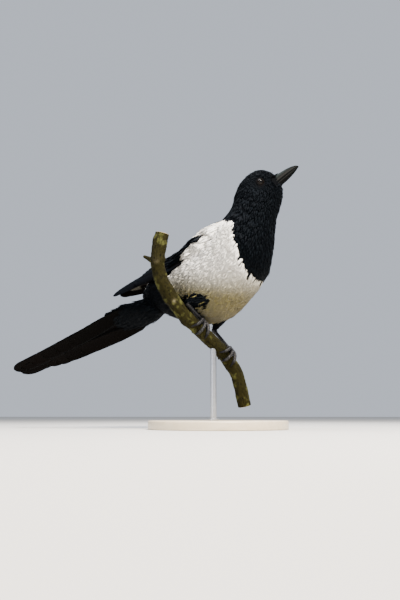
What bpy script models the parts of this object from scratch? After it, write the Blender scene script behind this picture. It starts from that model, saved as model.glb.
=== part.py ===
"""Eurasian magpie, life size, gripping a short cut branch on a plain stand.

The bird faces +X with its right side to -Y. The floor is z = 0 and the origin is the
centre of the stand's underside. Sizes in the tables are millimetres; meshes are metres.
"""

import bmesh
import bpy
import numpy as np
from math import cos, pi, radians, sin, tau
from mathutils import Matrix, Vector

MM = 0.001
GAP = 0.3

# Driving dimensions of the bird, in millimetres
NECK_AXIS_X = 45.0
BODY_SIDES = 24
RINGS_PER_SECTION = 2
UPPER_WIDTH_BIAS = 0.10
EYE_RADIUS = 4.6
LID_RADIUS = 1.0
BILL_PITCH = radians(38.0)
BRISTLE_RISE = 0.2
HEAD_TURN = radians(15.0)
TAIL_ROOT = np.array([-82.0, 0.0, 141.0])
TAIL_LENGTH = 213.0
TAIL_YAW = radians(10.0)
TAIL_PITCH = radians(19.0)
TAIL_TWIST = radians(26.0)
TAIL_FEATHER_HALF = 12.0
TAIL_FEATHER_STEP = 0.45
WING_LENGTH = 142.0
WING_BEND = 45.0
WING_SUNK = 2.5
SHOULDER_BEND = 22.0
PRIMARY_HALF = 6.3
SECONDARY_HALF = 7.8
COVERT_HALF = 6.6
SHOULDER_SHORTENING = 0.035
VANE_THICKNESS = 0.65
FLAT_ANGLE = radians(0.4)
LARGEST_SWELL = 1.3
TARSUS_RADIUS = 2.3
TOE_RADIUS = 2.4
TOE_STEPS = 10
CLAW_RADIUS = 1.5
CLAW_STEPS = 7
CLAW_TIP = 0.35
CLAW_GAPS = 2.3
THIGH_RADIUS = 11.0

# Driving dimensions of the perch and the stand, in millimetres
PERCH_RADIUS = 7.8
PERCH_SWELL = 1.05
ROUTE_POINTS = 201
ROD_SHARE = 0.37
BASE_RADIUS = 80.0
BASE_HEIGHT = 10.0
BASE_BEVEL = 2.0
ROD_RADIUS = 3.5
ROD_SOCKET_DEPTH = 5.0

# Body sections from the rump to the bill: back line x and z, belly line x and z,
# half width, and the turn about the neck's upright axis in degrees
SECTIONS = np.array([
    (-92.0, 164.0, -80.0, 146.0, 12.0, 0.0),
    (-80.0, 178.0, -64.0, 136.0, 26.0, 0.0),
    (-63.0, 193.0, -42.0, 127.5, 36.0, 0.0),
    (-44.0, 206.0, -12.0, 122.0, 42.0, 0.0),
    (-25.0, 219.0, 20.0, 131.0, 44.5, 0.0),
    (-8.0, 231.0, 46.0, 156.0, 44.5, 0.0),
    (3.0, 242.0, 62.0, 180.0, 41.0, 0.0),
    (11.0, 251.0, 68.5, 207.0, 34.5, 2.0),
    (16.0, 258.0, 71.0, 228.0, 29.5, 6.0),
    (19.5, 266.0, 73.5, 246.0, 26.0, 10.0),
    (22.0, 276.0, 77.5, 260.0, 22.5, 15.0),
    (25.5, 284.5, 80.0, 269.5, 20.3, 15.0),
    (30.0, 292.0, 81.0, 277.0, 18.8, 15.0),
    (37.0, 300.0, 81.3, 282.0, 17.9, 15.0),
    (47.0, 306.0, 81.6, 285.5, 16.6, 15.0),
    (56.0, 306.5, 82.0, 286.6, 14.6, 15.0),
    (63.5, 304.5, 82.8, 287.3, 12.0, 15.0),
    (68.5, 302.7, 83.3, 288.0, 9.8, 15.0),
    (72.0, 302.0, 84.0, 289.0, 8.2, 15.0),
    (74.0, 301.5, 85.0, 290.4, 6.9, 15.0),
])
NECK_START = 7
HEAD_START = 10
FACE_END = len(SECTIONS) - 1

# Centre line of the branch from its low end to its high end
PERCH_ROUTE = np.array([
    (24.0, 35.5, 27.0),
    (21.0, 31.0, 45.5),
    (17.5, 27.0, 62.0),
    (11.0, 20.0, 76.0),
    (3.0, 9.0, 89.0),
    (-5.0, -3.0, 99.5),
    (-17.0, -21.0, 113.0),
    (-30.0, -36.0, 127.0),
    (-40.5, -47.0, 144.0),
    (-49.0, -55.0, 160.0),
    (-54.0, -61.0, 181.0),
    (-52.0, -64.0, 200.0),
    (-48.0, -65.0, 217.0),
])

# A feather's outline: share of its length and share of its half width. Tail feathers
# are blunter.
FEATHER_PLAN = ((0.0, 0.55), (0.4, 0.95), (0.78, 1.0), (0.94, 0.66), (1.0, 0.14))
TAIL_PLAN = ((0.0, 0.5), (0.4, 0.95), (0.78, 1.0), (0.95, 0.84), (1.0, 0.28))

# The knot high on the branch and the stub of a twig beside it
KNOT_SHARE = 0.86
STUB_DIRECTION = np.array([-0.86, -0.25, 0.44])

# Where each foot stands along the branch, as a share of its length, and each heel
FOOT_SHARE = {"right": 0.485, "left": 0.275}
HEEL = {"right": np.array([-26.0, -42.0, 141.0]), "left": np.array([-11.0, 25.0, 118.0])}
KNEE = {"right": np.array([8.0, -18.0, 152.0]), "left": np.array([12.0, 15.0, 147.0])}

# Bill sections: distance ahead of the base, ridge height, mouth line height,
# lower edge depth and half width
BILL_SECTIONS = np.array([
    (-7.5, 5.2, -3.9, -7.0, 8.0),
    (0.0, 6.6, -3.0, -7.4, 6.9),
    (6.0, 6.6, -2.5, -7.2, 6.0),
    (13.0, 6.0, -2.0, -6.7, 5.0),
    (20.0, 5.2, -1.6, -5.6, 3.8),
    (26.0, 3.9, -1.3, -4.3, 2.6),
    (31.0, 1.9, -1.3, -2.7, 1.3),
    (33.4, -0.3, -1.6, -2.1, 0.5),
])

# Tail feathers from the middle outwards, on the right and the left side: share of the
# tail's length, offset of the root and of the tip. The fan opens more to the right.
TAIL_FAN = {
    -1: ((1.0, -6.0, -6.0), (0.95, -9.0, -7.5), (0.865, -12.0, -8.0), (0.765, -15.0, -9.5),
         (0.66, -18.0, -10.5), (0.54, -22.0, -11.0)),
    1: ((0.985, 3.0, 3.5), (0.94, 4.0, 2.5), (0.80, 7.0, 8.5), (0.745, 10.0, 10.5),
        (0.66, 12.0, 11.5), (0.54, 15.0, 11.0)),
}

# Sections of the covered root of the tail: length, middle, half width, height and depth
TAIL_CORE = ((-17.0, 0.0, 12.0, 11.0, 11.0), (0.0, -2.0, 20.0, 11.0, 10.0),
             (22.0, -4.0, 26.0, 7.5, 7.5), (45.0, -4.0, 26.0, 4.0, 4.5),
             (66.0, -5.0, 19.0, 1.2, 1.6))

# Cores under the wing's feathers: length, middle, half width, depth and share of the top
WING_CORE = ((-10.0, 0.0, 6.0, -3.0, 0.3), (4.0, 0.0, 15.0, -6.0, 0.9), (30.0, 0.0, 19.0, -6.0, 0.97),
             (56.0, -1.0, 18.0, -5.0, 0.85), (84.0, -2.0, 13.0, -3.0, 0.45))
SHOULDER_CORE = ((-8.0, 3.0, 5.0, -4.0, 1.0), (4.0, 4.0, 12.0, -5.0, 1.0), (20.0, 5.0, 17.0, -5.0, 1.0),
                 (42.0, 5.0, 17.0, -6.0, 1.0), (60.0, 4.0, 13.0, -7.0, 1.0), (74.0, 3.0, 6.0, -6.0, 1.0))

# Shoulder patch's top line: length along it and height above its frame
SHOULDER_TOP = ((-8.0, 4.0, 20.0, 42.0, 60.0, 74.0), (1.0, 5.2, 7.6, 6.3, 3.0, -0.5))

# Rows of shoulder feathers: count, first and last offset, reach, start, height at root and tip
SHOULDER_ROWS = ((4, -4.0, 17.0, 80.0, 34.0, 5.6, 1.3), (3, -4.0, 13.0, 57.0, 16.0, 6.4, 5.0),
                 (2, 0.0, 9.0, 34.0, 2.0, 4.6, 8.0))

# Sections of a lock of the face: distance ahead of the bill's base, or share of its reach,
# distance from the bill's axis, half width and thickness
LOCK_ROOT = ((-9.0, 8.5, 1.9, 2.2), (-1.0, 7.6, 1.8, 1.4))
LOCK_END = ((0.6, 6.5, 1.3, 1.0), (1.0, 5.9, 0.35, 0.6))
LOCK_COUNT = 9
LOCK_REACH = 11.5

# Mouth line on the cheek: distance ahead of the bill's base and height
MOUTH_LINE = ((4.0, -2.8), (-3.0, -3.5), (-9.5, -4.6))

# Toes: name, start and end angle round the branch, shift along it at the end,
# the claw's further angle
TOES = (
    ("inner", 0.15, 1.75, 8.5, 0.75),
    ("middle", 0.15, 2.35, 0.0, 0.85),
    ("outer", 0.15, 1.75, -8.5, 0.75),
    ("back", -0.15, -1.35, 0.0, -1.0),
)


def clear_scene():
    """Removes what the scene holds, and leaves the file open."""
    for item in list(bpy.data.objects):
        bpy.data.objects.remove(item, do_unlink=True)


def finish(name, colour, roughness, metallic=0.0):
    """Makes one Principled material."""
    material = bpy.data.materials.new(name)
    material.use_nodes = True
    shader = material.node_tree.nodes["Principled BSDF"]
    shader.inputs["Base Color"].default_value = (*colour, 1.0)
    shader.inputs["Roughness"].default_value = roughness
    shader.inputs["Metallic"].default_value = metallic
    return material


def new_object(name, points, faces):
    """Makes a linked object from points in millimetres."""
    mesh = bpy.data.meshes.new(name)
    mesh.from_pydata([tuple(p * MM for p in point) for point in points], [], faces)
    mesh.validate()
    thing = bpy.data.objects.new(name, mesh)
    bpy.context.scene.collection.objects.link(thing)
    return thing


def loft(name, rings):
    """Joins closed rings of equal point counts, with flat ends."""
    count = len(rings[0])
    points = [point for ring in rings for point in ring]
    faces = []
    for row in range(len(rings) - 1):
        for i in range(count):
            j = (i + 1) % count
            a, b = row * count + i, row * count + j
            c, d = b + count, a + count
            faces.append((a, b, c))
            faces.append((a, c, d))
    faces.append(tuple(reversed(range(count))))
    last = (len(rings) - 1) * count
    faces.append(tuple(range(last, last + count)))
    thing = new_object(name, points, faces)
    face_out(thing)
    return thing


def face_out(thing):
    """Turns every face of a closed mesh outwards."""
    form = bmesh.new()
    form.from_mesh(thing.data)
    bmesh.ops.recalc_face_normals(form, faces=form.faces)
    if form.calc_volume(signed=True) < 0.0:
        bmesh.ops.reverse_faces(form, faces=form.faces)
    form.to_mesh(thing.data)
    form.free()


def blend_table(table, position):
    """Reads a smooth curve through the rows of a table at a row position."""
    last = len(table) - 1
    row = min(max(int(np.floor(position)), 0), last - 1)
    t = position - row
    before = table[max(row - 1, 0)]
    after = table[min(row + 2, last)]
    here, there = table[row], table[row + 1]
    slope_here = 0.5 * (there - before)
    slope_there = 0.5 * (after - here)
    return ((2 * t**3 - 3 * t**2 + 1) * here + (t**3 - 2 * t**2 + t) * slope_here
            + (-2 * t**3 + 3 * t**2) * there + (t**3 - t**2) * slope_there)


def turned(point, angle):
    """Turns a point about the neck's upright axis."""
    x, y, z = point
    x -= NECK_AXIS_X
    return np.array([NECK_AXIS_X + x * cos(angle) - y * sin(angle),
                     x * sin(angle) + y * cos(angle), z])


def body_point(position, angle):
    """Point of the body's surface; the angle runs from the back, left side positive."""
    back_x, back_z, belly_x, belly_z, half_width, turn = blend_table(SECTIONS, position)
    centre = np.array([(back_x + belly_x) / 2, 0.0, (back_z + belly_z) / 2])
    upward = np.array([(back_x - belly_x) / 2, 0.0, (back_z - belly_z) / 2])
    sideways = np.array([0.0, half_width, 0.0])
    width = sin(angle) * (1.0 + UPPER_WIDTH_BIAS * cos(angle))
    return turned(centre + upward * cos(angle) + sideways * width, radians(turn))


def body_ring(position, inset=0.0):
    """One ring of the body, shifted along the body by the inset."""
    ring = [body_point(position, tau * i / BODY_SIDES) for i in range(BODY_SIDES)]
    across = np.cross(ring[BODY_SIDES // 4] - ring[3 * BODY_SIDES // 4],
                      ring[0] - ring[BODY_SIDES // 2])
    across /= np.linalg.norm(across)
    if across[0] + across[2] < 0.0:
        across = -across
    return [point + across * inset for point in ring]


def body_length(name, first, last):
    """The stretch of the body between two sections, half a gap short at each cut."""
    count = int(round((last - first) * RINGS_PER_SECTION))
    rings = []
    for i in range(count + 1):
        position = first + (last - first) * i / count
        inset = 0.0
        if i == 0 and first > 0:
            inset = GAP / 2
        if i == count and last < FACE_END:
            inset = -GAP / 2
        rings.append(body_ring(position, inset))
    return loft(name, rings)


def smooth_route(table, count):
    """Evenly spaced points on a smooth curve through the rows of a table."""
    fine = np.array([blend_table(table, t) for t in np.linspace(0, len(table) - 1, 400)])
    travelled = np.concatenate([[0.0], np.cumsum(np.linalg.norm(np.diff(fine, axis=0), axis=1))])
    wanted = np.linspace(0.0, travelled[-1], count)
    return np.stack([np.interp(wanted, travelled, fine[:, i]) for i in range(3)], axis=1)


def unit(vector):
    """A direction of length one."""
    return vector / np.linalg.norm(vector)


def tube(name, route, radii, sides, upward=(0.0, 0.0, 1.0)):
    """A round bar along a route, with a radius at each point and flat ends."""
    route = np.asarray(route, dtype=float)
    rings = []
    reference = np.asarray(upward, dtype=float)
    for i, point in enumerate(route):
        ahead = route[min(i + 1, len(route) - 1)]
        behind = route[max(i - 1, 0)]
        along = unit(ahead - behind)
        first = unit(reference - along * reference.dot(along))
        second = np.cross(along, first)
        reference = first
        rings.append([point + radii[i] * (first * cos(tau * k / sides)
                                          + second * sin(tau * k / sides))
                      for k in range(sides)])
    return loft(name, rings)


def ball(name, centre, radius, segments=16, rings=10, axis=(0.0, 0.0, 1.0), stretch=1.0):
    """A sphere, stretched along its axis."""
    form = bmesh.new()
    bmesh.ops.create_uvsphere(form, u_segments=segments, v_segments=rings, radius=radius * MM)
    bmesh.ops.scale(form, vec=(1.0, 1.0, stretch), verts=form.verts)
    turn = Vector((0.0, 0.0, 1.0)).rotation_difference(Vector(axis)).to_matrix().to_4x4()
    place = Matrix.Translation(Vector(tuple(c * MM for c in centre))) @ turn
    bmesh.ops.transform(form, matrix=place, verts=form.verts)
    mesh = bpy.data.meshes.new(name)
    form.to_mesh(mesh)
    form.free()
    thing = bpy.data.objects.new(name, mesh)
    bpy.context.scene.collection.objects.link(thing)
    return thing


def swollen(thing, amount=GAP):
    """A copy whose surface lies outside the first by the amount."""
    mesh = thing.data.copy()
    form = bmesh.new()
    form.from_mesh(mesh)
    form.normal_update()
    shifts = [vertex.normal * min(vertex.calc_shell_factor(), LARGEST_SWELL) * amount * MM
              for vertex in form.verts]
    for vertex, shift in zip(form.verts, shifts):
        vertex.co += shift
    form.to_mesh(mesh)
    form.free()
    copy = bpy.data.objects.new(thing.name + "_room", mesh)
    bpy.context.scene.collection.objects.link(copy)
    return copy


def combine(thing, others, operation, solver="EXACT"):
    """Joins or cuts one object with closed meshes, which are then removed."""
    group = bpy.data.collections.new(thing.name + "_operands")
    bpy.context.scene.collection.children.link(group)
    for other in others:
        bpy.context.scene.collection.objects.unlink(other)
        group.objects.link(other)
    modifier = thing.modifiers.new("combine", "BOOLEAN")
    modifier.operation = operation
    modifier.operand_type = "COLLECTION"
    modifier.collection = group
    modifier.solver = solver
    graph = bpy.context.evaluated_depsgraph_get()
    mesh = bpy.data.meshes.new_from_object(thing.evaluated_get(graph))
    thing.modifiers.clear()
    thing.data = mesh
    for other in others:
        bpy.data.objects.remove(other, do_unlink=True)
    bpy.data.collections.remove(group)
    keep_largest(thing)


def keep_largest(thing):
    """Leaves only the largest closed surface of a mesh."""
    form = bmesh.new()
    form.from_mesh(thing.data)
    bmesh.ops.remove_doubles(form, verts=form.verts, dist=1e-7)
    bmesh.ops.triangulate(form, faces=form.faces)
    unseen = set(form.faces)
    surfaces = []
    while unseen:
        stack = [unseen.pop()]
        surface = list(stack)
        while stack:
            face = stack.pop()
            for edge in face.edges:
                for other in edge.link_faces:
                    if other in unseen:
                        unseen.remove(other)
                        stack.append(other)
                        surface.append(other)
        surfaces.append(surface)
    surfaces.sort(key=surface_volume, reverse=True)
    loose = [face for surface in surfaces[1:] for face in surface]
    bmesh.ops.delete(form, geom=loose, context="FACES")
    bmesh.ops.dissolve_limit(form, angle_limit=FLAT_ANGLE, verts=form.verts, edges=form.edges)
    bmesh.ops.triangulate(form, faces=form.faces)
    form.to_mesh(thing.data)
    form.free()


def surface_volume(surface):
    """The volume inside a closed set of triangles."""
    total = 0.0
    for face in surface:
        a, b, c = (vertex.co for vertex in face.verts)
        total += a.dot(b.cross(c)) / 6.0
    return abs(total)


def bill_frame():
    """The bill's base, its direction, its left side and its upward direction."""
    base = turned((73.0, 0.0, 293.0), HEAD_TURN)
    along = turned((NECK_AXIS_X + cos(BILL_PITCH), 0.0, sin(BILL_PITCH)), HEAD_TURN)
    along -= np.array([NECK_AXIS_X, 0.0, 0.0])
    side = np.array([-sin(HEAD_TURN), cos(HEAD_TURN), 0.0])
    return base, along, side, np.cross(along, side)


def bill_half(name, upper):
    """One half of the bill, from inside the face to the tip."""
    base, along, side, up = bill_frame()
    rings = []
    arc_steps = 6
    for row in np.linspace(0, len(BILL_SECTIONS) - 1, 15):
        ahead, ridge, mouth, keel, half_width = blend_table(BILL_SECTIONS, row)
        edge = mouth + (GAP / 2 if upper else -GAP / 2)
        rim = ridge if upper else keel
        ring = []
        for k in range(arc_steps + 1):
            angle = pi * k / arc_steps
            height = edge + (rim - edge) * sin(angle) ** 0.8
            ring.append(base + along * ahead + side * half_width * cos(angle) + up * height)
        ring.append(base + along * ahead + up * edge)
        rings.append(ring)
    return loft(name, rings)


def bristle_locks():
    """Flat tapered locks of the face that lie forward over the bill's base."""
    base, along, side, up = bill_frame()
    locks = []
    for k in range(LOCK_COUNT):
        angle = pi * (0.06 + 0.88 * k / (LOCK_COUNT - 1))
        spoke = side * cos(angle) + up * sin(angle)
        edge = np.cross(along, spoke)
        reach = LOCK_REACH - 3.0 * abs(cos(angle))
        wide = 1.0 - 0.12 * abs(cos(angle))
        rows = LOCK_ROOT + tuple((share * reach, *rest) for share, *rest in LOCK_END)
        rings = []
        for ahead, lift, half, thick in rows:
            middle = base + along * ahead + spoke * lift * wide + up * BRISTLE_RISE
            rings.append([middle - edge * half, middle + edge * half,
                          middle + edge * half * 0.7 + spoke * thick,
                          middle - edge * half * 0.7 + spoke * thick])
        locks.append(loft("lock", rings))
    return locks


def mouth_slits():
    """Thin cutters for the line of the mouth that runs back from the bill on each cheek."""
    base, along, side, up = bill_frame()
    slits = []
    for way in (-1, 1):
        rings = []
        for ahead, height in MOUTH_LINE:
            middle = base + along * ahead + up * height
            inner = middle + side * way * 5.0
            outer = middle + side * way * 16.0
            rings.append([inner - up * 0.3, outer - up * 0.35, outer + up * 0.35, inner + up * 0.3])
        slits.append(loft("slit", rings))
    return slits


def eye_place(side):
    """Centre of an eye and the direction it looks in."""
    outward = turned((NECK_AXIS_X + 0.22, side * 0.97, 0.0), HEAD_TURN)
    outward -= np.array([NECK_AXIS_X, 0.0, 0.0])
    centre = turned((51.5, side * 15.6, 286.0), HEAD_TURN)
    return centre, unit(outward)


def lid_ring(name, side):
    """The raised rim of the lids round one eye."""
    centre, outward = eye_place(side)
    across = unit(np.cross(outward, (0.0, 0.0, 1.0)))
    upward = np.cross(across, outward)
    count = 16
    rings = []
    for i in range(count):
        angle = tau * i / count
        spoke = across * cos(angle) + upward * sin(angle)
        middle = centre + outward * 2.0 + spoke * 4.7
        rings.append([middle + LID_RADIUS * (spoke * cos(tau * k / 5) + outward * sin(tau * k / 5))
                      for k in range(5)])
    return ring_loft(name, rings)


def ring_loft(name, rings):
    """Joins rings into a closed loop."""
    count = len(rings[0])
    points = [point for ring in rings for point in ring]
    faces = []
    for row in range(len(rings)):
        following = (row + 1) % len(rings)
        for i in range(count):
            j = (i + 1) % count
            a, b = row * count + i, row * count + j
            c, d = following * count + j, following * count + i
            faces.append((a, b, c))
            faces.append((a, c, d))
    thing = new_object(name, points, faces)
    face_out(thing)
    return thing


def feather(place, root, tip, half_width, across_points=2, thickness=VANE_THICKNESS,
            plan=FEATHER_PLAN):
    """A closed flat feather between two places, each a length, an offset across and a height."""
    root = np.asarray(root, dtype=float)
    tip = np.asarray(tip, dtype=float)
    offsets = np.linspace(-1.0, 1.0, across_points)
    rings = []
    for share, wide in plan:
        middle = root + (tip - root) * share
        half = half_width * wide
        lower = [place(middle[0], middle[1] + half * k, middle[2]) for k in offsets]
        upper = [place(middle[0], middle[1] + half * k, middle[2] + thickness)
                 for k in reversed(offsets)]
        rings.append(lower + upper)
    return loft("feather", rings)


def tail_frame():
    """The tail's root, its direction, its across direction and its upper side."""
    along = np.array([-cos(TAIL_YAW) * cos(TAIL_PITCH), sin(TAIL_YAW) * cos(TAIL_PITCH),
                      -sin(TAIL_PITCH)])
    level = np.array([sin(TAIL_YAW), cos(TAIL_YAW), 0.0])
    under = np.cross(along, level)
    across = level * cos(TAIL_TWIST) + under * sin(TAIL_TWIST)
    return TAIL_ROOT, along, across, -np.cross(along, across)


def tail_place(length, offset, height):
    """Maps a place on the tail to a point."""
    root, along, across, upper = tail_frame()
    return root + along * length + across * offset + upper * height


def build_tail():
    """Twelve graduated tail feathers from a root wrapped in coverts."""
    rings = []
    for length, middle, half, high, low in TAIL_CORE:
        rings.append([tail_place(length, middle + half * cos(tau * k / 14),
                                 (high if k < 8 else low) * sin(tau * k / 14)) for k in range(14)])
    tail = loft("tail", rings)
    feathers = []
    for side, fan in TAIL_FAN.items():
        for rank, (share, root, tip) in enumerate(fan):
            height = -TAIL_FEATHER_STEP * rank - (0.2 if side < 0 else 0.0)
            feathers.append(feather(tail_place, (20.0, root, height),
                                    (TAIL_LENGTH * share, tip, height),
                                    TAIL_FEATHER_HALF, plan=TAIL_PLAN))
    for offset, reach in ((-11.0, 66.0), (0.0, 76.0), (11.0, 66.0)):
        feathers.append(feather(tail_place, (10.0, offset * 0.5, 6.3), (reach - 6.0, offset, 1.2), 8.0))
        feathers.append(feather(tail_place, (10.0, offset * 0.6, -8.0), (reach, offset, -4.0), 9.0))
    combine(tail, feathers, "UNION")
    return tail


def wing_frame(side):
    """A wing's front, its direction, its outer normal and its across direction."""
    along = unit(np.array([-0.915, -side * 0.17, -0.345]))
    out = np.array([-0.36, side * 0.66, 0.66])
    out = unit(out - along * out.dot(along))
    across = np.cross(along, out) * side
    return np.array([2.0, side * 36.0, 212.5]) - out * WING_SUNK, along, out, across


def shoulder_frame(side):
    """The same for the patch of shoulder feathers that lies over the wing's front."""
    along = unit(np.array([-61.0, side * 18.0, -47.0]))
    out = np.array([-0.5, side * 0.35, 0.8])
    out = unit(out - along * out.dot(along))
    across = np.cross(along, out) * side
    return np.array([10.0, side * 12.0, 241.0]), along, out, across


def bent_place(frame, radius, middle):
    """Makes the function that maps a place on a surface bent across its length."""
    front, along, out, across = frame

    def place(length, offset, height):
        drop = (offset - middle) ** 2 / (2.0 * radius)
        return front + along * length + across * offset + out * (height - drop)
    return place


def cover_height(offset):
    """Height of the covered stack of flight feathers, more towards the back."""
    return 5.2 - 0.13 * offset


def plate(place, rows, top):
    """A core: rows hold length, middle offset, half width, depth and a share of the top."""
    rings = []
    for length, middle, half, depth, share in rows:
        ring = []
        for k in range(12):
            angle = tau * k / 12
            offset = middle + half * cos(angle)
            height = top(length, offset) * share if sin(angle) > 0.0 else depth
            ring.append(place(length, offset, height * abs(sin(angle)) ** 0.7))
        rings.append(ring)
    return loft("core", rings)


def build_wing(name, side):
    """A folded wing: flight feathers in a stack, two rows of coverts, shoulder feathers."""
    wing_place = bent_place(wing_frame(side), WING_BEND, 0.0)
    shoulder_place = bent_place(shoulder_frame(side), SHOULDER_BEND, 4.0)
    wing = plate(wing_place, WING_CORE, lambda length, offset: cover_height(offset))
    wing.name = name
    pieces = [plate(shoulder_place, SHOULDER_CORE,
                    lambda length, offset: float(np.interp(length, *SHOULDER_TOP)))]
    for rank in range(4):
        height = 0.3 + 0.62 * rank
        pieces.append(feather(wing_place, (62.0, 11.0 - 2.0 * rank, height),
                              (WING_LENGTH - 1.5 * rank - 2.2 * rank ** 2, 3.5 - 1.5 * rank,
                               height), PRIMARY_HALF))
    for rank in range(6):
        height = 2.95 + 0.66 * rank
        pieces.append(feather(wing_place, (40.0, 12.0 - 5.0 * rank, height),
                              (108.0 - 6.5 * rank, 8.0 - 5.4 * rank, height), SECONDARY_HALF))
    for rank in range(4):
        offset = 14.0 - 8.4 * rank
        height = cover_height(offset)
        pieces.append(feather(wing_place, (12.0, offset + 1.0, height - 0.4),
                              (52.0 - 2.5 * rank, offset, height + 0.4), COVERT_HALF))
    for rank in range(3):
        offset = 9.5 - 8.4 * rank
        height = cover_height(offset) + 0.8
        pieces.append(feather(wing_place, (0.0, offset + 1.0, height - 1.0),
                              (28.0 - 2.0 * rank, offset, height + 0.4), COVERT_HALF))
    for count, first, last, reach, start, low, high in SHOULDER_ROWS:
        for k in range(count):
            offset = first + (last - first) * k / (count - 1)
            short = SHOULDER_SHORTENING * (offset - 3.0) ** 2
            pieces.append(feather(shoulder_place, (start, offset * 0.7 + 1.0, low),
                                  (reach - short, offset, high), COVERT_HALF))
    combine(wing, pieces, "UNION")
    return wing


def perch_frame(share):
    """Centre, direction, standing direction and forward direction of the branch."""
    route = smooth_route(PERCH_ROUTE, ROUTE_POINTS)
    last = ROUTE_POINTS - 1
    index = int(round(share * last))
    centre = route[index]
    along = unit(route[min(index + 2, last)] - route[max(index - 2, 0)])
    standing = unit(np.array([0.0, 0.0, 1.0]) - along * along[2])
    forward = np.cross(along, standing)
    if forward[0] < 0.0:
        forward = -forward
    return centre, along, standing, forward


def build_perch():
    """The cut branch, with a few swellings."""
    count = 23
    route = smooth_route(PERCH_ROUTE, count)
    radii = [PERCH_RADIUS * (1.0 + 0.035 * sin(2.1 * i) + 0.02 * sin(5.3 * i)) for i in range(count)]
    perch = tube("perch", route, radii, 12, upward=(1.0, 0.0, 0.0))
    centre = perch_frame(KNOT_SHARE)[0]
    stub = tube("stub", [centre + STUB_DIRECTION * reach for reach in (2.0, 9.0, 13.0, 17.0)],
                (4.0, 3.0, 2.2, 1.6), 8)
    knot = ball("knot", centre + np.array([2.2, -2.2, 1.0]), PERCH_RADIUS * 0.98, 12, 8)
    combine(perch, [stub, knot], "UNION")
    return perch


def toe_route(foot, start, end, shift_start, shift_end, radius_start, radius_end, count):
    """Points of a toe or claw that wraps round the branch."""
    centre, along, standing, forward = foot
    points = []
    for i in range(count):
        share = i / (count - 1)
        angle = start + (end - start) * share
        shift = shift_start + (shift_end - shift_start) * share
        radius = radius_start + (radius_end - radius_start) * share
        distance = PERCH_RADIUS * PERCH_SWELL + GAP + radius
        points.append(centre + along * shift
                      + distance * (standing * cos(angle) + forward * sin(angle)))
    return points


def foot_hub(label):
    """Centre of the ball of a foot."""
    foot = perch_frame(FOOT_SHARE[label])
    return foot[0] + foot[2] * (PERCH_RADIUS * PERCH_SWELL + GAP + TOE_RADIUS + 0.4)


def build_foot(label, extra=0.0):
    """The four toes of a foot joined at its ball, grown by the extra."""
    foot = perch_frame(FOOT_SHARE[label])
    body = ball("toes_" + label, foot_hub(label), TOE_RADIUS + 0.8 + extra, 14, 10)
    toes = []
    radii = [TOE_RADIUS * (1.0 - 0.2 * i / (TOE_STEPS - 1)) * (1.05 if i % 2 else 0.95) + extra
             for i in range(TOE_STEPS)]
    for row in TOES:
        start, end, shift = row[1:4]
        route = toe_route(foot, start, end, shift * 0.2, shift, TOE_RADIUS, TOE_RADIUS * 0.8,
                          TOE_STEPS)
        toes.append(tube("toe", route, radii, 8, upward=foot[1]))
    combine(body, toes, "UNION")
    return body


def build_claws(label):
    """The claws, each set just ahead of its toe."""
    foot = perch_frame(FOOT_SHARE[label])
    claws = []
    for toe, start, end, shift, further in TOES:
        reach = PERCH_RADIUS * PERCH_SWELL + TOE_RADIUS
        clear = np.sign(further) * CLAW_GAPS * GAP / reach
        drift = 0.8 * shift / (end - start)
        route = toe_route(foot, end + clear, end + further, shift + drift * clear,
                          shift + drift * further, CLAW_RADIUS, CLAW_TIP, CLAW_STEPS)
        radii = [CLAW_RADIUS * (1.0 - 0.8 * (i / (CLAW_STEPS - 1)) ** 1.3) for i in range(CLAW_STEPS)]
        claws.append(tube("claw_" + toe + "_" + label, route, radii, 8, upward=foot[1]))
    return claws


def build_tarsus(label, extra=0.0):
    """The scaled shank from the heel to the ball of the foot, grown by the extra."""
    heel = HEEL[label]
    hub = foot_hub(label)
    count = 15
    radii = []
    route = []
    for i in range(count):
        share = i / (count - 1)
        step = 1.08 if i % 2 else 0.96
        swell = 1.35 - 1.6 * share if share < 0.22 else 1.0
        radii.append(TARSUS_RADIUS * step * max(swell, 1.0) + extra)
        route.append(heel + (hub - heel) * share)
    thing = tube("tarsus_" + label, route, radii, 10)
    knob = ball("heel", heel, TARSUS_RADIUS * 1.45 + extra, 12, 8)
    combine(thing, [knob], "UNION")
    return thing


def build_thigh(label):
    """The feathered upper leg that shows below the belly."""
    heel = HEEL[label]
    knee = KNEE[label]
    count = 9
    route = [knee + (heel - knee) * i / (count - 1) * 0.97 for i in range(count)]
    radii = [THIGH_RADIUS * (1.0 - 0.59 * (i / (count - 1)) ** 1.4) for i in range(count)]
    return tube("thigh_" + label, route, radii, 16)


def disc(name, radius, bottom, top, sides, bevel=0.0):
    """An upright round plate or rod."""
    rings = []
    levels = [(radius, bottom), (radius, top)]
    if bevel > 0.0:
        levels = [(radius - bevel * 0.5, bottom), (radius, bottom + bevel * 0.5),
                  (radius, top - bevel), (radius - bevel * 0.3, top - bevel * 0.3),
                  (radius - bevel, top)]
    for size, level in levels:
        rings.append([np.array([size * cos(tau * k / sides), size * sin(tau * k / sides), level])
                      for k in range(sides)])
    return loft(name, rings)


def shifted(thing, x, y):
    """Moves a mesh level across the floor."""
    thing.data.transform(Matrix.Translation((x * MM, y * MM, 0.0)))
    return thing


def dress(thing, material):
    """Gives a finished node its material and smooth shading."""
    thing.data.materials.clear()
    thing.data.materials.append(material)
    thing.data.shade_smooth()
    thing.data.set_sharp_from_angle(angle=radians(35.0))


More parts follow.
